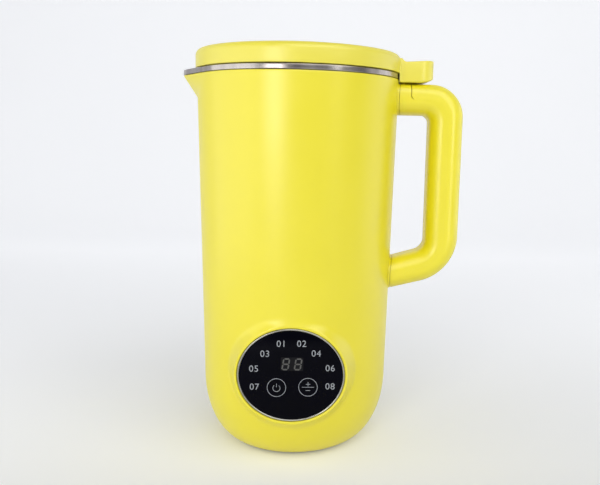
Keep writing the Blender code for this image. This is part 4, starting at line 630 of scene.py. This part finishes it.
def make_shell():
    """The drum, its beak, the boss round the panel and the inlet's hole as one closed wall."""
    inner_start = 0.005
    lip_round, lip_end, inlet_edge, sunk = 0.0003, 0.0004, 0.0004, 0.00002
    bm = bmesh.new()
    outer_rows = corner_rows() + drum_rows()
    inner_rows = [LIP_TOP] + [z for z in outer_rows if z > inner_start]
    outer = Skin(bm, outer_rows, 0.0)
    inner = Skin(bm, inner_rows, SHELL_WALL)
    front_out, back_out = outer.patch(*PANEL_WINDOW), outer.patch(*INLET_WINDOW)
    front_in, back_in = inner.patch(*PANEL_WINDOW), inner.patch(*INLET_WINDOW)
    outer.build()
    inner.build()

    angles = [panel_angle(v.co.x, v.co.z) for v in outer.edge(front_out)]

    def oval_row(growth, depth):
        """One ring of vertices round the panel, at a depth or one that x and z give."""
        row = []
        for angle in angles:
            x, z = oval(growth, angle)
            row.append(bm.verts.new((x, -(depth(x, z) if callable(depth) else depth), z)))
        return row

    def flared(share):
        """How far the boss stands out, a share of the way from its lip to the wall."""
        def depth(x, z):
            wall = outer.surface_y(x, z)
            return wall + (LIP_FRONT - wall) * flare_height(share)
        return depth

    def behind(x, z):
        return max(DISPLAY_BACK, inner.surface_y(x, z))

    rows = [oval_row(-LEDGE_WIDTH, DISPLAY_FRONT),
            oval_row(CLEAR, DISPLAY_FRONT),
            oval_row(CLEAR, LIP_FRONT - lip_round),
            oval_row(CLEAR + BEVEL, LIP_FRONT - BEVEL),
            oval_row(CLEAR + lip_round, LIP_FRONT),
            oval_row(PANEL_LIP - lip_end, LIP_FRONT)]
    rows += [oval_row(PANEL_LIP + PANEL_FLARE * i / 16, flared(i / 16)) for i in range(17)]
    stitch(bm, rows + blended(outer, rows[-1], front_out, 8, -1))

    back = [rows[0], oval_row(-LEDGE_WIDTH, behind), oval_row(CLEAR - TRIM_WIDTH, behind),
            oval_row(CLEAR - TRIM_WIDTH, lambda x, z: inner.surface_y(x, z) - sunk)]
    stitch(bm, back + blended(inner, back[-1], front_in, 6, -1))

    around = [(v.co.x, v.co.z) for v in outer.edge(back_out)]

    def inlet_row(growth, skin, below=0.0):
        """One ring of vertices round the inlet, on a wall or below it."""
        row = []
        for x, z in around:
            px, pz = inlet_point(growth, x, z)
            row.append(bm.verts.new((px, skin.surface_y(px, pz) - below, pz)))
        return row

    rows = [inlet_row(CLEAR, inner), inlet_row(CLEAR, outer, inlet_edge),
            inlet_row(CLEAR + inlet_edge, outer)]
    stitch(bm, rows + blended(outer, rows[-1], back_out, 5, 1))
    stitch(bm, [rows[0]] + blended(inner, rows[0], back_in, 5, 1))

    def level(radius, z, beak):
        return [bm.verts.new(p) for p in ring(radius, z, beak)]

    def end_row(skin, r):
        return [skin.grid[c, r] for c in range(COUNT)]

    stitch(bm, [end_row(outer, len(outer_rows) - 1),
                level(BODY_TOP_RADIUS - BEVEL, BODY_TOP - BEVEL, SPOUT_REACH),
                level(BODY_TOP_RADIUS - TOP_EDGE, BODY_TOP, SPOUT_REACH),
                level(BODY_TOP_RADIUS - SHELL_WALL, BODY_TOP, SPOUT_REACH),
                end_row(inner, len(inner_rows) - 1)])
    stitch(bm, [end_row(outer, 0), level(OPENING_RADIUS, SHELL_BOTTOM, 0),
                level(OPENING_RADIUS, LIP_TOP, 0), end_row(inner, 0)])

    shell = link("outer_shell_skin", bm, yellow)
    hole_radius, hole_half = 0.0019, 0.006
    holes = bmesh.new()
    for height in SCREW_HEIGHTS:
        hole = rod(hole_radius, -hole_half, hole_half, 24)
        merge(holes, shifted(hole, (body_radius(height), 0, height), math.radians(90), "Y"))
    carve(shell, holes)

    # Bosses of the base screws on webs, and two ribs that the power board rests against
    bore, boss, low, high = 0.0018, 0.0033, 0.0035, 0.0155
    rib_place, half = 0.019, 0.001
    inside = bmesh.new()
    for turn in SCREW_TURNS:
        tube = lathe([(bore, low), (boss, low), (boss, high), (bore, high)], 40)
        merge(inside, shifted(tube, circle_point(BOSS_CIRCLE, turn)))
        web = block(x0=0.0362, x1=0.05, y0=-half, y1=half, low=0.012, high=0.0135)
        merge(inside, shifted(web, turn=turn))
    for y in (-rib_place, rib_place):
        merge(inside, block(x0=-0.054, x1=-0.0449, y0=y - half, y1=y + half,
                            low=0.04, high=0.0652))
    link("shell_bosses", inside, yellow, "housing")
    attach(shell, "housing")
    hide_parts("outer_shell")


make_shell()


# Cup

def cup_radius(z):
    """Inner radius of the cup's wall."""
    rise = (z - CUP_FLOOR) / (RIM_LOW - CUP_FLOOR)
    return CUP_LOW_RADIUS + (CUP_TOP_RADIUS - CUP_LOW_RADIUS) * rise


def make_cup():
    """Steel cup with its pouring lip and rim band."""
    bend, shaft_hole = 0.012, 0.0102
    in_round, out_round, low_round, fold = 0.0015, 0.0006, 0.0003, 0.0022
    middle = (cup_radius(CUP_FLOOR + bend) - bend, CUP_FLOOR + bend)

    def wall(growth):
        """Points from the shaft's hole up the wall, grown by a width."""
        points = [(shaft_hole, CUP_FLOOR - growth, 0.0)]
        points += [(r, z, 0.0) for r, z in arc(middle, bend + growth, -90, 0, 12)]
        for i in range(15):
            z = BODY_TOP - SPOUT_HEIGHT + SPOUT_HEIGHT * i / 14
            points.append((cup_radius(z) + growth, z, spout_reach(z)))
        return points

    band = arc((CUP_TOP_RADIUS + in_round, RIM_TOP - in_round), in_round, 180, 90, 6)
    band += arc((BODY_TOP_RADIUS - out_round, RIM_TOP - out_round), out_round, 90, 0, 5)
    band += arc((BODY_TOP_RADIUS - low_round, RIM_LOW + low_round), low_round, 0, -90, 4)
    band += [(BODY_TOP_RADIUS - fold, RIM_LOW), (BODY_TOP_RADIUS - fold, RIM_TOP - CUP_WALL),
             (CUP_TOP_RADIUS + in_round, RIM_TOP - CUP_WALL)]
    profile = wall(0.0) + [(r, z, SPOUT_REACH) for r, z in band] + wall(CUP_WALL)[::-1]
    cup = link("cup_body", loft([ring(*p) for p in profile], closed=True), bowl_steel,
               "housing")
    cup.data.materials.append(steel)
    for face in cup.data.polygons:
        centre = face.center
        away = math.hypot(centre.x - AXIS_X, centre.y)
        if centre.z > RIM_LOW - 0.0002 and away > CUP_TOP_RADIUS + 0.001:
            face.material_index = 1
    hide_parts("inner_cup")


make_cup()


# Lid

def lid_dome(radius):
    """Height of the dome at a radius."""
    edge = LID_RADIUS - LID_EDGE_RADIUS
    ball = (edge * edge + LID_DOME * LID_DOME) / (2 * LID_DOME)
    return LID_TOP - ball + math.sqrt(ball * ball - radius * radius)


def tab_section(x):
    """Half width, underside and top of the lid's tongue at a distance from the jug's axis."""
    spread, root_rise, end_rise, nose_rise, gap = 0.0006, 0.002, 0.0014, 0.0028, 0.0006
    spread_end, spread_length, root_length = 0.0025, 0.0045, 0.003
    nose = clamped((x - NOSE_START) / TAB_NOSE)
    half = TAB_HALF_WIDTH + spread * clamped((LID_RADIUS + spread_end - x) / spread_length) ** 2
    half *= math.sqrt(1 - nose ** 2.4)
    under = HANDLE_TOP + gap + nose_rise * nose ** 2
    top = LID_TOP - TAB_DROP
    top += end_rise * clamped((x - LID_RADIUS) / (TAB_REACH - LID_RADIUS)) ** 1.4
    top += root_rise * clamped((LID_RADIUS + root_length - x) / root_length) ** 2
    return half, under, top


def make_tab():
    """The tongue, cut out round the lid's shell and hollow over the plunger."""
    overlap, step, flat_start, flat_length, widest = 0.0002, 0.0004, 0.0682, 0.0055, 0.0011
    stations = [LID_RADIUS - LID_WALL + overlap + step * i for i in range(16)]
    stations += [flat_start + flat_length * i / 5 for i in range(5)]
    stations += [NOSE_START + TAB_NOSE * math.sin(math.radians(90 * i / 22)) for i in range(22)]
    rings = []
    for x in stations:
        half, under, top = tab_section(x)
        corner = min(widest, half * 0.8)
        outline = rounded(half, (top - under) / 2, corner, (0, (top + under) / 2), 6)
        rings.append([(x, y, z) for y, z in outline])
    tab = link("tab", loft(rings), lid_yellow_painted_sheen, sharp_deg=40)
    carve(tab, rod(LID_RADIUS, 0.2, LID_LOW, 180))
    hollow = rounded(half_w=0.004, half_h=0.0104, corner=0.0015, centre=(PARTING_REACH, 0))
    carve(tab, prism(hollow, low=0.22, high=0.2368))
    return tab


def make_lid():
    """Lid cover with its tongue over the handle, the liner and the seal."""
    edge = LID_RADIUS - LID_EDGE_RADIUS
    inner = LID_RADIUS - LID_WALL
    skirt = 0.0005
    profile = [(0, LID_TOP)]
    profile += [(edge * i / 12, lid_dome(edge * i / 12)) for i in range(1, 12)]
    profile += arc((edge, LID_SHOULDER), LID_EDGE_RADIUS, 90, 0, 12)
    profile += arc((LID_RADIUS - skirt, LID_LOW + skirt), skirt, 0, -90, 4)
    profile += [(inner, LID_LOW), (inner, LID_SHOULDER)]
    profile += [(edge - LID_WALL / 2, lid_dome(edge) - LID_WALL)]
    profile += [(edge * i / 8, lid_dome(edge * i / 8) - LID_WALL) for i in range(7, 0, -1)]
    profile += [(0, LID_TOP - LID_WALL)]
    cover = link("lid_shell", lathe(profile, 180), lid_yellow_painted_sheen)
    boolean(cover, make_tab(), "UNION")
    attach(cover, "lid")
    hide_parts("lid_cover")

    low = RIM_LOW + CLEAR - LINER_DEPTH + SEAL_HEIGHT
    groove_low = low + LINER_WALL
    groove_top = groove_low + SEAL_HEIGHT
    wide = LINER_RADIUS
    groove = wide - 0.0014
    hollow = groove - LINER_WALL
    top = lid_dome(wide) - LID_WALL - CLEAR
    low_round = 0.0008
    profile = [(0, low), (wide - LINER_WALL, low)]
    profile += arc((wide - low_round, low + low_round), low_round, -90, 0, 5)
    profile += [(wide, groove_low), (groove, groove_low), (groove, groove_top), (wide, groove_top),
                (wide, top), (hollow, top), (hollow, low + LINER_WALL), (0, low + LINER_WALL)]
    liner = link("lid_plug", lathe(profile, 140), liner_white, "lid")
    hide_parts("lid_liner")

    out = cup_radius(groove_low) - CLEAR
    back = wide + 0.0021
    seal_low = groove_low + CLEAR
    seal_top = groove_top - CLEAR
    middle = (seal_low + seal_top) / 2
    profile = [(groove + CLEAR, seal_low), (back, seal_low)]
    profile += [(out - 0.0012, seal_low + 0.0003), (out - 0.0003, middle - 0.0005), (out, middle),
                (out - 0.0001, middle + 0.0003), (out - 0.0006, middle + 0.0008),
                (out - 0.0011, middle + 0.0007)]
    profile += [(back, seal_low + 0.0009), (wide, seal_top), (groove + CLEAR, seal_top)]
    seal = link("lid_gasket", lathe(profile, 140), silicone, "lid")
    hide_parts("lid_seal")


make_lid()


# Handle

def handle_line(reach, top, foot, slope_deg, shoulder, elbow, root):
    """One outline of the handle as (x, z) points."""
    slope = math.radians(slope_deg)
    elbow_x = reach - elbow
    elbow_z = foot + (elbow_x - root) * math.tan(slope) + elbow / math.cos(slope)
    corner = arc((reach - shoulder, top - shoulder), shoulder, 90, 0, 24)
    bend = arc((elbow_x, elbow_z), elbow, 0, slope_deg - 90, 20)
    start, end = (root, top), (root, foot)
    return ([start] + between(start, corner[0], 8) + corner + between(corner[-1], bend[0], 16)
            + bend + between(bend[-1], end, 8) + [end])


def handle_form():
    """Soft-cornered sections between the handle's outer and inner outlines."""
    root = body_radius(HANDLE_FOOT) - SHELL_WALL / 2
    outer = handle_line(HANDLE_REACH, HANDLE_TOP, HANDLE_FOOT - FOOT_DROP, *OUTER_BENDS, root)
    inner = handle_line(HANDLE_REACH - GRIP_THICKNESS, HANDLE_TOP - UPPER_ARM,
                        HANDLE_FOOT + LOWER_ARM, *INNER_BENDS, root)
    half = HANDLE_DEPTH / 2
    crown, inward, root_corner, growth = 0.0009, 0.0085, 0.005, 0.0038
    rings = []
    for i, ((ox, oz), (ix, iz)) in enumerate(zip(outer, inner)):
        thick = math.hypot(ox - ix, oz - iz)
        outward = root_corner + growth * min(1.0, i / 20)
        section = []
        for across, side, corner, start in ((thick - outward, outward - half, outward, -90),
                                            (thick - outward, half - outward, outward, 0),
                                            (inward, half - inward, inward, 90),
                                            (inward, inward - half, inward, 180)):
            section += arc((across, side), corner, start, start + 90, 14)
        points = []
        for across, side in section:
            share = across / thick
            rise = crown * (2 * share - 1) ** 2
            points.append((ix + (ox - ix) * share, side - math.copysign(rise, side),
                           iz + (oz - iz) * share))
        rings.append(points)
    return rings, outer, inner


def parting(outer, inner, growth):
    """Side view of what the handle's cover takes: all that lies outside the middle line."""
    hair = math.copysign(0.000012, growth)
    cut = PARTING_REACH - growth
    low_cut = PARTING_REACH - hair
    hook, on_grip, past = 0.0021, 40, PAST_HANDLE
    middle = []
    for (ox, oz), (ix, iz) in zip(outer, inner):
        across = Vector((ox - ix, oz - iz)).normalized() * -hair
        middle.append(((ox + ix) / 2 + across.x, (oz + iz) / 2 + across.y))
    region = [(cut, HANDLE_TOP + past)]
    region += arc((cut + hook, middle[0][1] + hook), hook, 180, 270, 8)
    region += [point for point in middle[:on_grip] if point[0] > cut + hook + 0.0003]
    region += [point for point in middle[on_grip:] if point[0] > low_cut + 0.0004]
    last = region[-1]
    after = middle[middle.index(last) + 1]
    share = (low_cut - last[0]) / (after[0] - last[0])
    region += [(low_cut, last[1] + (after[1] - last[1]) * share), (low_cut, HANDLE_FOOT - past),
               (HANDLE_REACH + past, HANDLE_FOOT - past), (HANDLE_REACH + past, HANDLE_TOP + past)]
    return prism(region, -HANDLE_DEPTH, HANDLE_DEPTH, "Y")


def drum(growth):
    """The drum at the handle's heights, grown by a width."""
    heights = (HANDLE_FOOT - PAST_HANDLE, HANDLE_TOP + PAST_HANDLE)
    return loft([ring(body_radius(z) + growth, z, 0) for z in heights])


def make_handle():
    """Frame and cover, split along the middle line with a hairline gap, on pads of the drum."""
    half_gap, pad_gap, sunk = 0.0002, 0.00025, 0.0004
    rings, outer, inner = handle_form()
    pads = link("handle_root_pads", loft(rings), yellow)
    carve(pads, drum(ROOT_STAND), "INTERSECT")
    carve(pads, drum(-sunk))
    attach(pads, "housing")

    made = link("handle_inner_half", loft(rings), yellow)
    carve(made, parting(outer, inner, half_gap))
    carve(made, drum(ROOT_STAND + pad_gap))
    nest_x, nest_y = 0.0067, 0.0032
    carve(made, block(PLUNGER_PLACE - nest_x, PLUNGER_PLACE + nest_x, -nest_y, nest_y,
                      low=0.2113, high=0.224))
    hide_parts("handle_frame")
    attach(made, "housing")

    made = link("handle_outer_half", loft(rings), yellow)
    carve(made, parting(outer, inner, -half_gap), "INTERSECT")
    well = stepped(wide=0.0034, narrow=0.0023, low=0.21, step=0.2259, high=0.24, steps=48)
    carve(made, shifted(well, (PLUNGER_PLACE, 0, 0)))
    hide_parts("handle_cover")
    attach(made, "housing")


make_handle()


# Control panel

PRINT_FACE = LENS_FRONT + 0.00002
PRINT_HALF = 0.00003
STROKE = 0.0003
POWER_KEY = (-0.0083, 0.05)
LEVEL_KEY = (0.01, 0.0505)
KEY_RADIUS = 0.00555
KEY_INNER_RADIUS = 0.00524
DIGIT_PLACES = (-0.003, 0.0041)
DIGIT_HEIGHT = 0.0642
NUMERAL_SIZE = 0.0054
NUMERALS = (("01", -0.0057, 0.0762), ("02", 0.006, 0.0764), ("03", -0.0151, 0.0701),
            ("04", 0.0145, 0.0707), ("05", -0.0215, 0.0611), ("06", 0.0227, 0.062),
            ("07", -0.0211, 0.0502), ("08", 0.0228, 0.051))


def oval_point(growth, turn, depth):
    """A point round the panel, at a depth."""
    x, z = oval(growth, turn)
    return x, -depth, z


def printed(outline, lift=0.0):
    """A thin sheet of print on the lens."""
    middle = PRINT_FACE + lift
    return prism(outline, -(middle + PRINT_HALF), -(middle - PRINT_HALF), "Y")


def bar(x0, z0, x1, z1, width):
    """A straight stroke on the lens."""
    along = Vector((x1 - x0, z1 - z0)).normalized() * (width / 2)
    side = Vector((-along.y, along.x))
    return printed([(x0 - side.x, z0 - side.y), (x1 - side.x, z1 - side.y),
                    (x1 + side.x, z1 + side.y), (x0 + side.x, z0 + side.y)])


def key_ring(x, z):
    """The circle round a touch key."""
    low, high = PRINT_FACE - PRINT_HALF, PRINT_FACE + PRINT_HALF
    rings = []
    for i in range(96):
        turn = math.tau * i / 96
        rings.append([(x + radius * math.cos(turn), -y, z + radius * math.sin(turn))
                      for radius, y in ((KEY_RADIUS, low), (KEY_RADIUS, high),
                                        (KEY_INNER_RADIUS, high), (KEY_INNER_RADIUS, low))])
    return loft(rings, closed=True)


def touch_marks():
    """Circles of both keys, plus, line and minus in the right one and a power sign in the left."""
    marks = bmesh.new()
    for key in (POWER_KEY, LEVEL_KEY):
        merge(marks, key_ring(*key))
    x, z = LEVEL_KEY
    strokes = [(0.0064, z, 0.0136, z, 0.00025), (0.0087, 0.0523, 0.0113, 0.0523, STROKE),
               (x, 0.051, x, 0.0536, STROKE), (0.0087, 0.0485, 0.0113, 0.0485, STROKE)]
    x = POWER_KEY[0]
    bow = arc((x, 0.0497), 0.0021, -230, 50, 28)
    strokes += [(*start, *end, STROKE) for start, end in zip(bow, bow[1:])]
    strokes += [(x, 0.0503, x, 0.0525, STROKE)]
    for stroke in strokes:
        merge(marks, bar(*stroke))
    return marks


def seven_segments(x, z, wide, tall):
    """All seven bars of one unlit digit, leaning to the right."""
    lean = math.tan(math.radians(9))
    thick, gap = 0.00085, 0.00018
    made = bmesh.new()

    def segment(points):
        slanted = [(x + px + lean * pz, z + pz) for px, pz in points]
        merge(made, printed(slanted, PRINT_HALF / 2))

    half_w, half_t, t = wide / 2, tall / 2, thick / 2
    a, b = -half_w + t + gap, half_w - t - gap
    for level in (-half_t + t, 0.0, half_t - t):
        segment([(a, level), (a + t, level - t), (b - t, level - t), (b, level),
                 (b - t, level + t), (a + t, level + t)])
    for side in (-half_w + t, half_w - t):
        for low, high in ((-half_t + t + gap, -gap), (gap, half_t - t - gap)):
            segment([(side, low), (side + t, low + t), (side + t, high - t), (side, high),
                     (side - t, high - t), (side - t, low + t)])
    return made


def numeral_text():
    """The plain numbers in the places of the photo's words."""
    text = bmesh.new()
    for word, x, z in NUMERALS:
        curve = bpy.data.curves.new("numeral", "FONT")
        curve.body = word
        curve.size = NUMERAL_SIZE
        curve.align_x = curve.align_y = "CENTER"
        curve.extrude = PRINT_HALF
        curve.space_character = 1.1
        holder = new_object("numeral", curve)
        holder.matrix_world = (Matrix.Translation((x, -PRINT_FACE, z))
                               @ Matrix.Rotation(math.radians(90), 4, "X"))
        bpy.context.view_layer.update()
        mesh = evaluated(holder)
        mesh.transform(holder.matrix_world)
        text.from_mesh(mesh)
        bpy.data.objects.remove(holder, do_unlink=True)
        bpy.data.meshes.remove(mesh)
    bmesh.ops.remove_doubles(text, verts=text.verts, dist=1e-7)
    return text


def make_panel():
    """Trim ring, lens, digits, touch marks and the plain numerals round them."""
    front = LIP_FRONT - 0.0002
    trim = [(0.0, LENS_BACK), (0.0, front - 0.0004), (-0.0001, front - 0.00012),
            (-0.00035, front), (-0.0007, front), (-0.001, front - 0.0002),
            (-TRIM_WIDTH, front - 0.0005), (-TRIM_WIDTH, LENS_BACK)]
    rings = [[oval_point(growth, turn, depth) for growth, depth in trim] for turn in OVAL_TURNS]
    ring_piece = link("trim_ring", loft(rings, closed=True), chrome, "housing", 50)
    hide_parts("panel_trim_ring")

    growth = -TRIM_WIDTH - CLEAR / 2
    plate = ((0.0, LENS_BACK), (0.0, LENS_FRONT - 0.00025), (0.0001, LENS_FRONT - 0.00007),
             (0.0003, LENS_FRONT))
    rings = [[oval_point(growth - shrink, turn, depth) for turn in OVAL_TURNS]
             for shrink, depth in plate]
    lens_piece = link("panel_glass", loft(rings), lens, "housing", 50)
    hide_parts("panel_lens")

    patch = rounded(half_w=0.0065, half_h=0.004, corner=0.0004, centre=(0.0006, 0.0643))
    link("digit_window", prism(patch, -PRINT_FACE, -(PRINT_FACE - PRINT_HALF), "Y"), window,
         "housing")
    digits = bmesh.new()
    for place in DIGIT_PLACES:
        merge(digits, seven_segments(place, DIGIT_HEIGHT, wide=0.0042, tall=0.0072))
    link("unlit_digits", digits, segments, "housing")
    link("touch_marks", touch_marks(), print_white, "housing")
    link("program_numerals", numeral_text(), print_white, "housing")


make_panel()


# Base

def make_base():
    """Vented base cover and the four feet."""
    wide = OPENING_RADIUS - CLEAR
    edge = 0.0003
    profile = [(0, SHELL_BOTTOM), (wide - edge, SHELL_BOTTOM), (wide, SHELL_BOTTOM + edge),
               (wide, LIP_TOP), (0, LIP_TOP)]
    cover = link("base_plate", lathe(profile, 160), black)
    below, pocket_top, above = -0.005, 0.0024, 0.01
    pocket, head, bore = 0.0053, 0.0032, 0.0018
    cuts = bmesh.new()
    for i in range(8):
        vent = prism(rounded(0.0065, 0.0013, 0.00125, (0.0145, 0), 6), below, above)
        merge(cuts, shifted(vent, turn=math.tau * i / 8))
    for turn in FOOT_TURNS:
        merge(cuts, shifted(rod(pocket, below, pocket_top, 60), circle_point(FOOT_CIRCLE, turn)))
    for turn in SCREW_TURNS:
        sink = stepped(head, bore, below, pocket_top, above, 40)
        merge(cuts, shifted(sink, circle_point(SCREW_CIRCLE, turn)))
    carve(cover, cuts)
    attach(cover, "housing")
    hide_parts("base_cover")
    radius, flat, foot_round, foot_top = 0.005, 0.0043, 0.0007, 0.0021
    for i, turn in enumerate(FOOT_TURNS):
        profile = [(0, 0), (flat, 0)] + arc((flat, foot_round), foot_round, -90, 0, 5)
        profile += [(radius, foot_top), (0, foot_top)]
        foot = shifted(lathe(profile, 60), circle_point(FOOT_CIRCLE, turn))
        made = link(f"rubber_foot_{i + 1}", foot, rubber, "housing")
        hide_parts(f"foot_{i + 1}")


make_base()


# Materials of the solids, also of those that finer pieces replace

NODE_LOOKS = (
    (yellow, "outer_shell handle_frame handle_cover lid_cover"),
    (bowl_steel, "inner_cup"),
    (chrome, "panel_trim_ring"),
    (lens, "panel_lens"),
    (liner_white, "lid_liner"),
    (rubber, "foot_1 foot_2 foot_3 foot_4"),
    (steel, "heater_tube temp_sensor seal_seat upper_bearing lower_bearing motor_shaft"),
    (blade_steel, "blade blade_nut"),
    (black, "base_cover digit_display thermal_cutout relay inlet_housing lid_switch cooling_fan"
            " interlock_plunger"),
    (silicone, "shaft_seal lid_seal"),
    (zinc, "base_screw_1 base_screw_2 base_screw_3 handle_screw_1 handle_screw_2 motor_bolt_1"
           " motor_bolt_2 motor_carrier touch_spring_1 touch_spring_2 plunger_spring"),
    (aluminium, "heater_plate top_bracket bottom_bracket"),
    (brass, "brush_holder_1 brush_holder_2 inlet_pin_live inlet_pin_earth inlet_pin_neutral"),
    (carbon, "carbon_brush_1 carbon_brush_2"),
    (beige, "filter_capacitor"),
    (board, "display_board power_board"),
    (laminations, "stator_core armature_core"),
    (winding, "field_coil_1 field_coil_2 armature_winding"),
    (bars, "commutator"),
)
for look, names in NODE_LOOKS:
    for name in names.split():
        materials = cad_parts[name].data.materials
        materials.clear()
        materials.append(look)


# Floor, light and camera

# The floor's glow grows with the distance from a line before the jug, in metres
GLOW_LINE_Y = -0.5
GLOW_START = 0.4
GLOW_FULL = 1.2


def stage_material(camera_colour, lit_colour, glow):
    """Pale matte surface that adds a plain glow for the camera and for mirrors only."""
    look = Look("studio_paper")
    broad = look.noise(3.0, 2.0)
    shade = tuple(0.985 * c for c in lit_colour)
    look.drive("Base Color", look.mix(look.span(broad, 0, 1), lit_colour, shade))
    put(look.shader, Roughness=0.9, Specular_IOR_Level=0.2)
    path = look.node("ShaderNodeLightPath")
    seen = look.combine("ADD", path.outputs["Is Camera Ray"], path.outputs["Is Glossy Ray"],
                        clamp=True)
    place = look.node("ShaderNodeSeparateXYZ")
    look.join(look.where, place.inputs["Vector"])
    away = look.combine("SUBTRACT", place.outputs["Y"], GLOW_LINE_Y)
    squared = look.combine("MULTIPLY", away, away)
    rise = look.combine("POWER", look.span(squared, 0, 1, GLOW_START ** 2, GLOW_FULL ** 2), 0.5)
    light = look.node("ShaderNodeEmission", Color=(*camera_colour, 1))
    look.join(look.combine("MULTIPLY", seen, look.span(rise, *glow, 0, 1)),
              light.inputs["Strength"])
    both = look.node("ShaderNodeAddShader")
    look.join(look.shader.outputs["BSDF"], both.inputs[0])
    look.join(light.outputs["Emission"], both.inputs[1])
    look.join(both.outputs["Shader"], look.tree.nodes["Material Output"].inputs["Surface"])
    return look.material


def make_stage():
    """A floor that sweeps up into a backdrop."""
    half_width, sweep_start, sweep_radius, wall_top = 6.0, 0.9, 0.8, 5.0
    sweep = arc((sweep_start, sweep_radius), sweep_radius, -90, 0, 24)
    line = ([(-half_width, 0.0), (sweep_start, 0.0)] + sweep[1:]
            + [(sweep_start + sweep_radius, wall_top)])
    bm = bmesh.new()
    rows = [[bm.verts.new((x, y, z)) for y, z in line] for x in (-half_width, half_width)]
    for i in range(len(line) - 1):
        bm.faces.new((rows[0][i], rows[1][i], rows[1][i + 1], rows[0][i + 1]))
    paper = stage_material(camera_colour=(0.955, 0.965, 1.0), lit_colour=(0.84, 0.845, 0.855),
                           glow=(0.01, 0.505))
    floor = link("studio_floor", bm, paper, place=(0, 0, 0))


def area_light(name, place, target, size, power, spread_deg=180):
    """A soft rectangular lamp that points at a target."""
    data = bpy.data.lights.new(name, "AREA")
    data.shape = "RECTANGLE"
    data.size, data.size_y = size
    data.energy = power
    data.spread = math.radians(spread_deg)
    lamp = new_object(name, data)
    lamp.location = place
    lamp.rotation_euler = (Vector(target) - Vector(place)).to_track_quat("-Z", "Y").to_euler()


def make_world():
    """Even light from all round, which the camera sees as a paler wall."""
    world = bpy.data.worlds.new("studio")
    world.use_nodes = True
    tree = world.node_tree
    background = put(tree.nodes["Background"], Color=(0.95, 0.97, 1.0, 1))
    level = put(tree.nodes.new("ShaderNodeMapRange"), To_Min=0.33, To_Max=0.9)
    path = tree.nodes.new("ShaderNodeLightPath")
    tree.links.new(path.outputs["Is Camera Ray"], level.inputs["Value"])
    tree.links.new(level.outputs["Result"], background.inputs["Strength"])
    bpy.context.scene.world = world


def make_camera():
    """The photograph's viewpoint, with angles in radians."""
    pan, pitch, roll = 0.0241, 0.1504, 0.0224
    solved = Vector((0.00277, -0.44461, 0.19428))
    step_back = 0.0023
    forward = Vector((math.sin(pan) * math.cos(pitch), math.cos(pan) * math.cos(pitch),
                      -math.sin(pitch)))
    right = Vector((math.cos(pan), -math.sin(pan), 0))
    up = right.cross(forward)
    right_rolled = math.cos(roll) * right + math.sin(roll) * up
    up_rolled = -math.sin(roll) * right + math.cos(roll) * up
    data = bpy.data.cameras.new("camera")
    data.sensor_width = 36.0
    data.lens = 41.69
    data.shift_x = -0.07
    camera = new_object("camera", data)
    rotation = Matrix((right_rolled, up_rolled, -forward)).transposed().to_4x4()
    camera.matrix_world = Matrix.Translation(solved - step_back * forward) @ rotation
    bpy.context.scene.camera = camera


make_stage()
make_world()
area_light("left_panel", (-0.52, -0.16, 0.22), (0, 0, 0.15), (0.6, 0.56), 1.2)
area_light("window", (-0.49, -1.1, 0.3), (0, 0, 0.16), (0.4, 0.4), 2.8)
area_light("right_panel", (0.58, 0.12, 0.21), (0.06, 0, 0.14), (0.5, 0.4), 0.4)
area_light("handle_strip", (0.36, -0.36, 0.2), (0.088, 0, 0.17), (0.12, 0.3), 0.014, 22)
area_light("top", (0.46, -0.95, 1.05), (0, 0, 0.1), (1.8, 1.2), 12.4)
make_camera()
bpy.context.scene.view_settings.view_transform = "Standard"
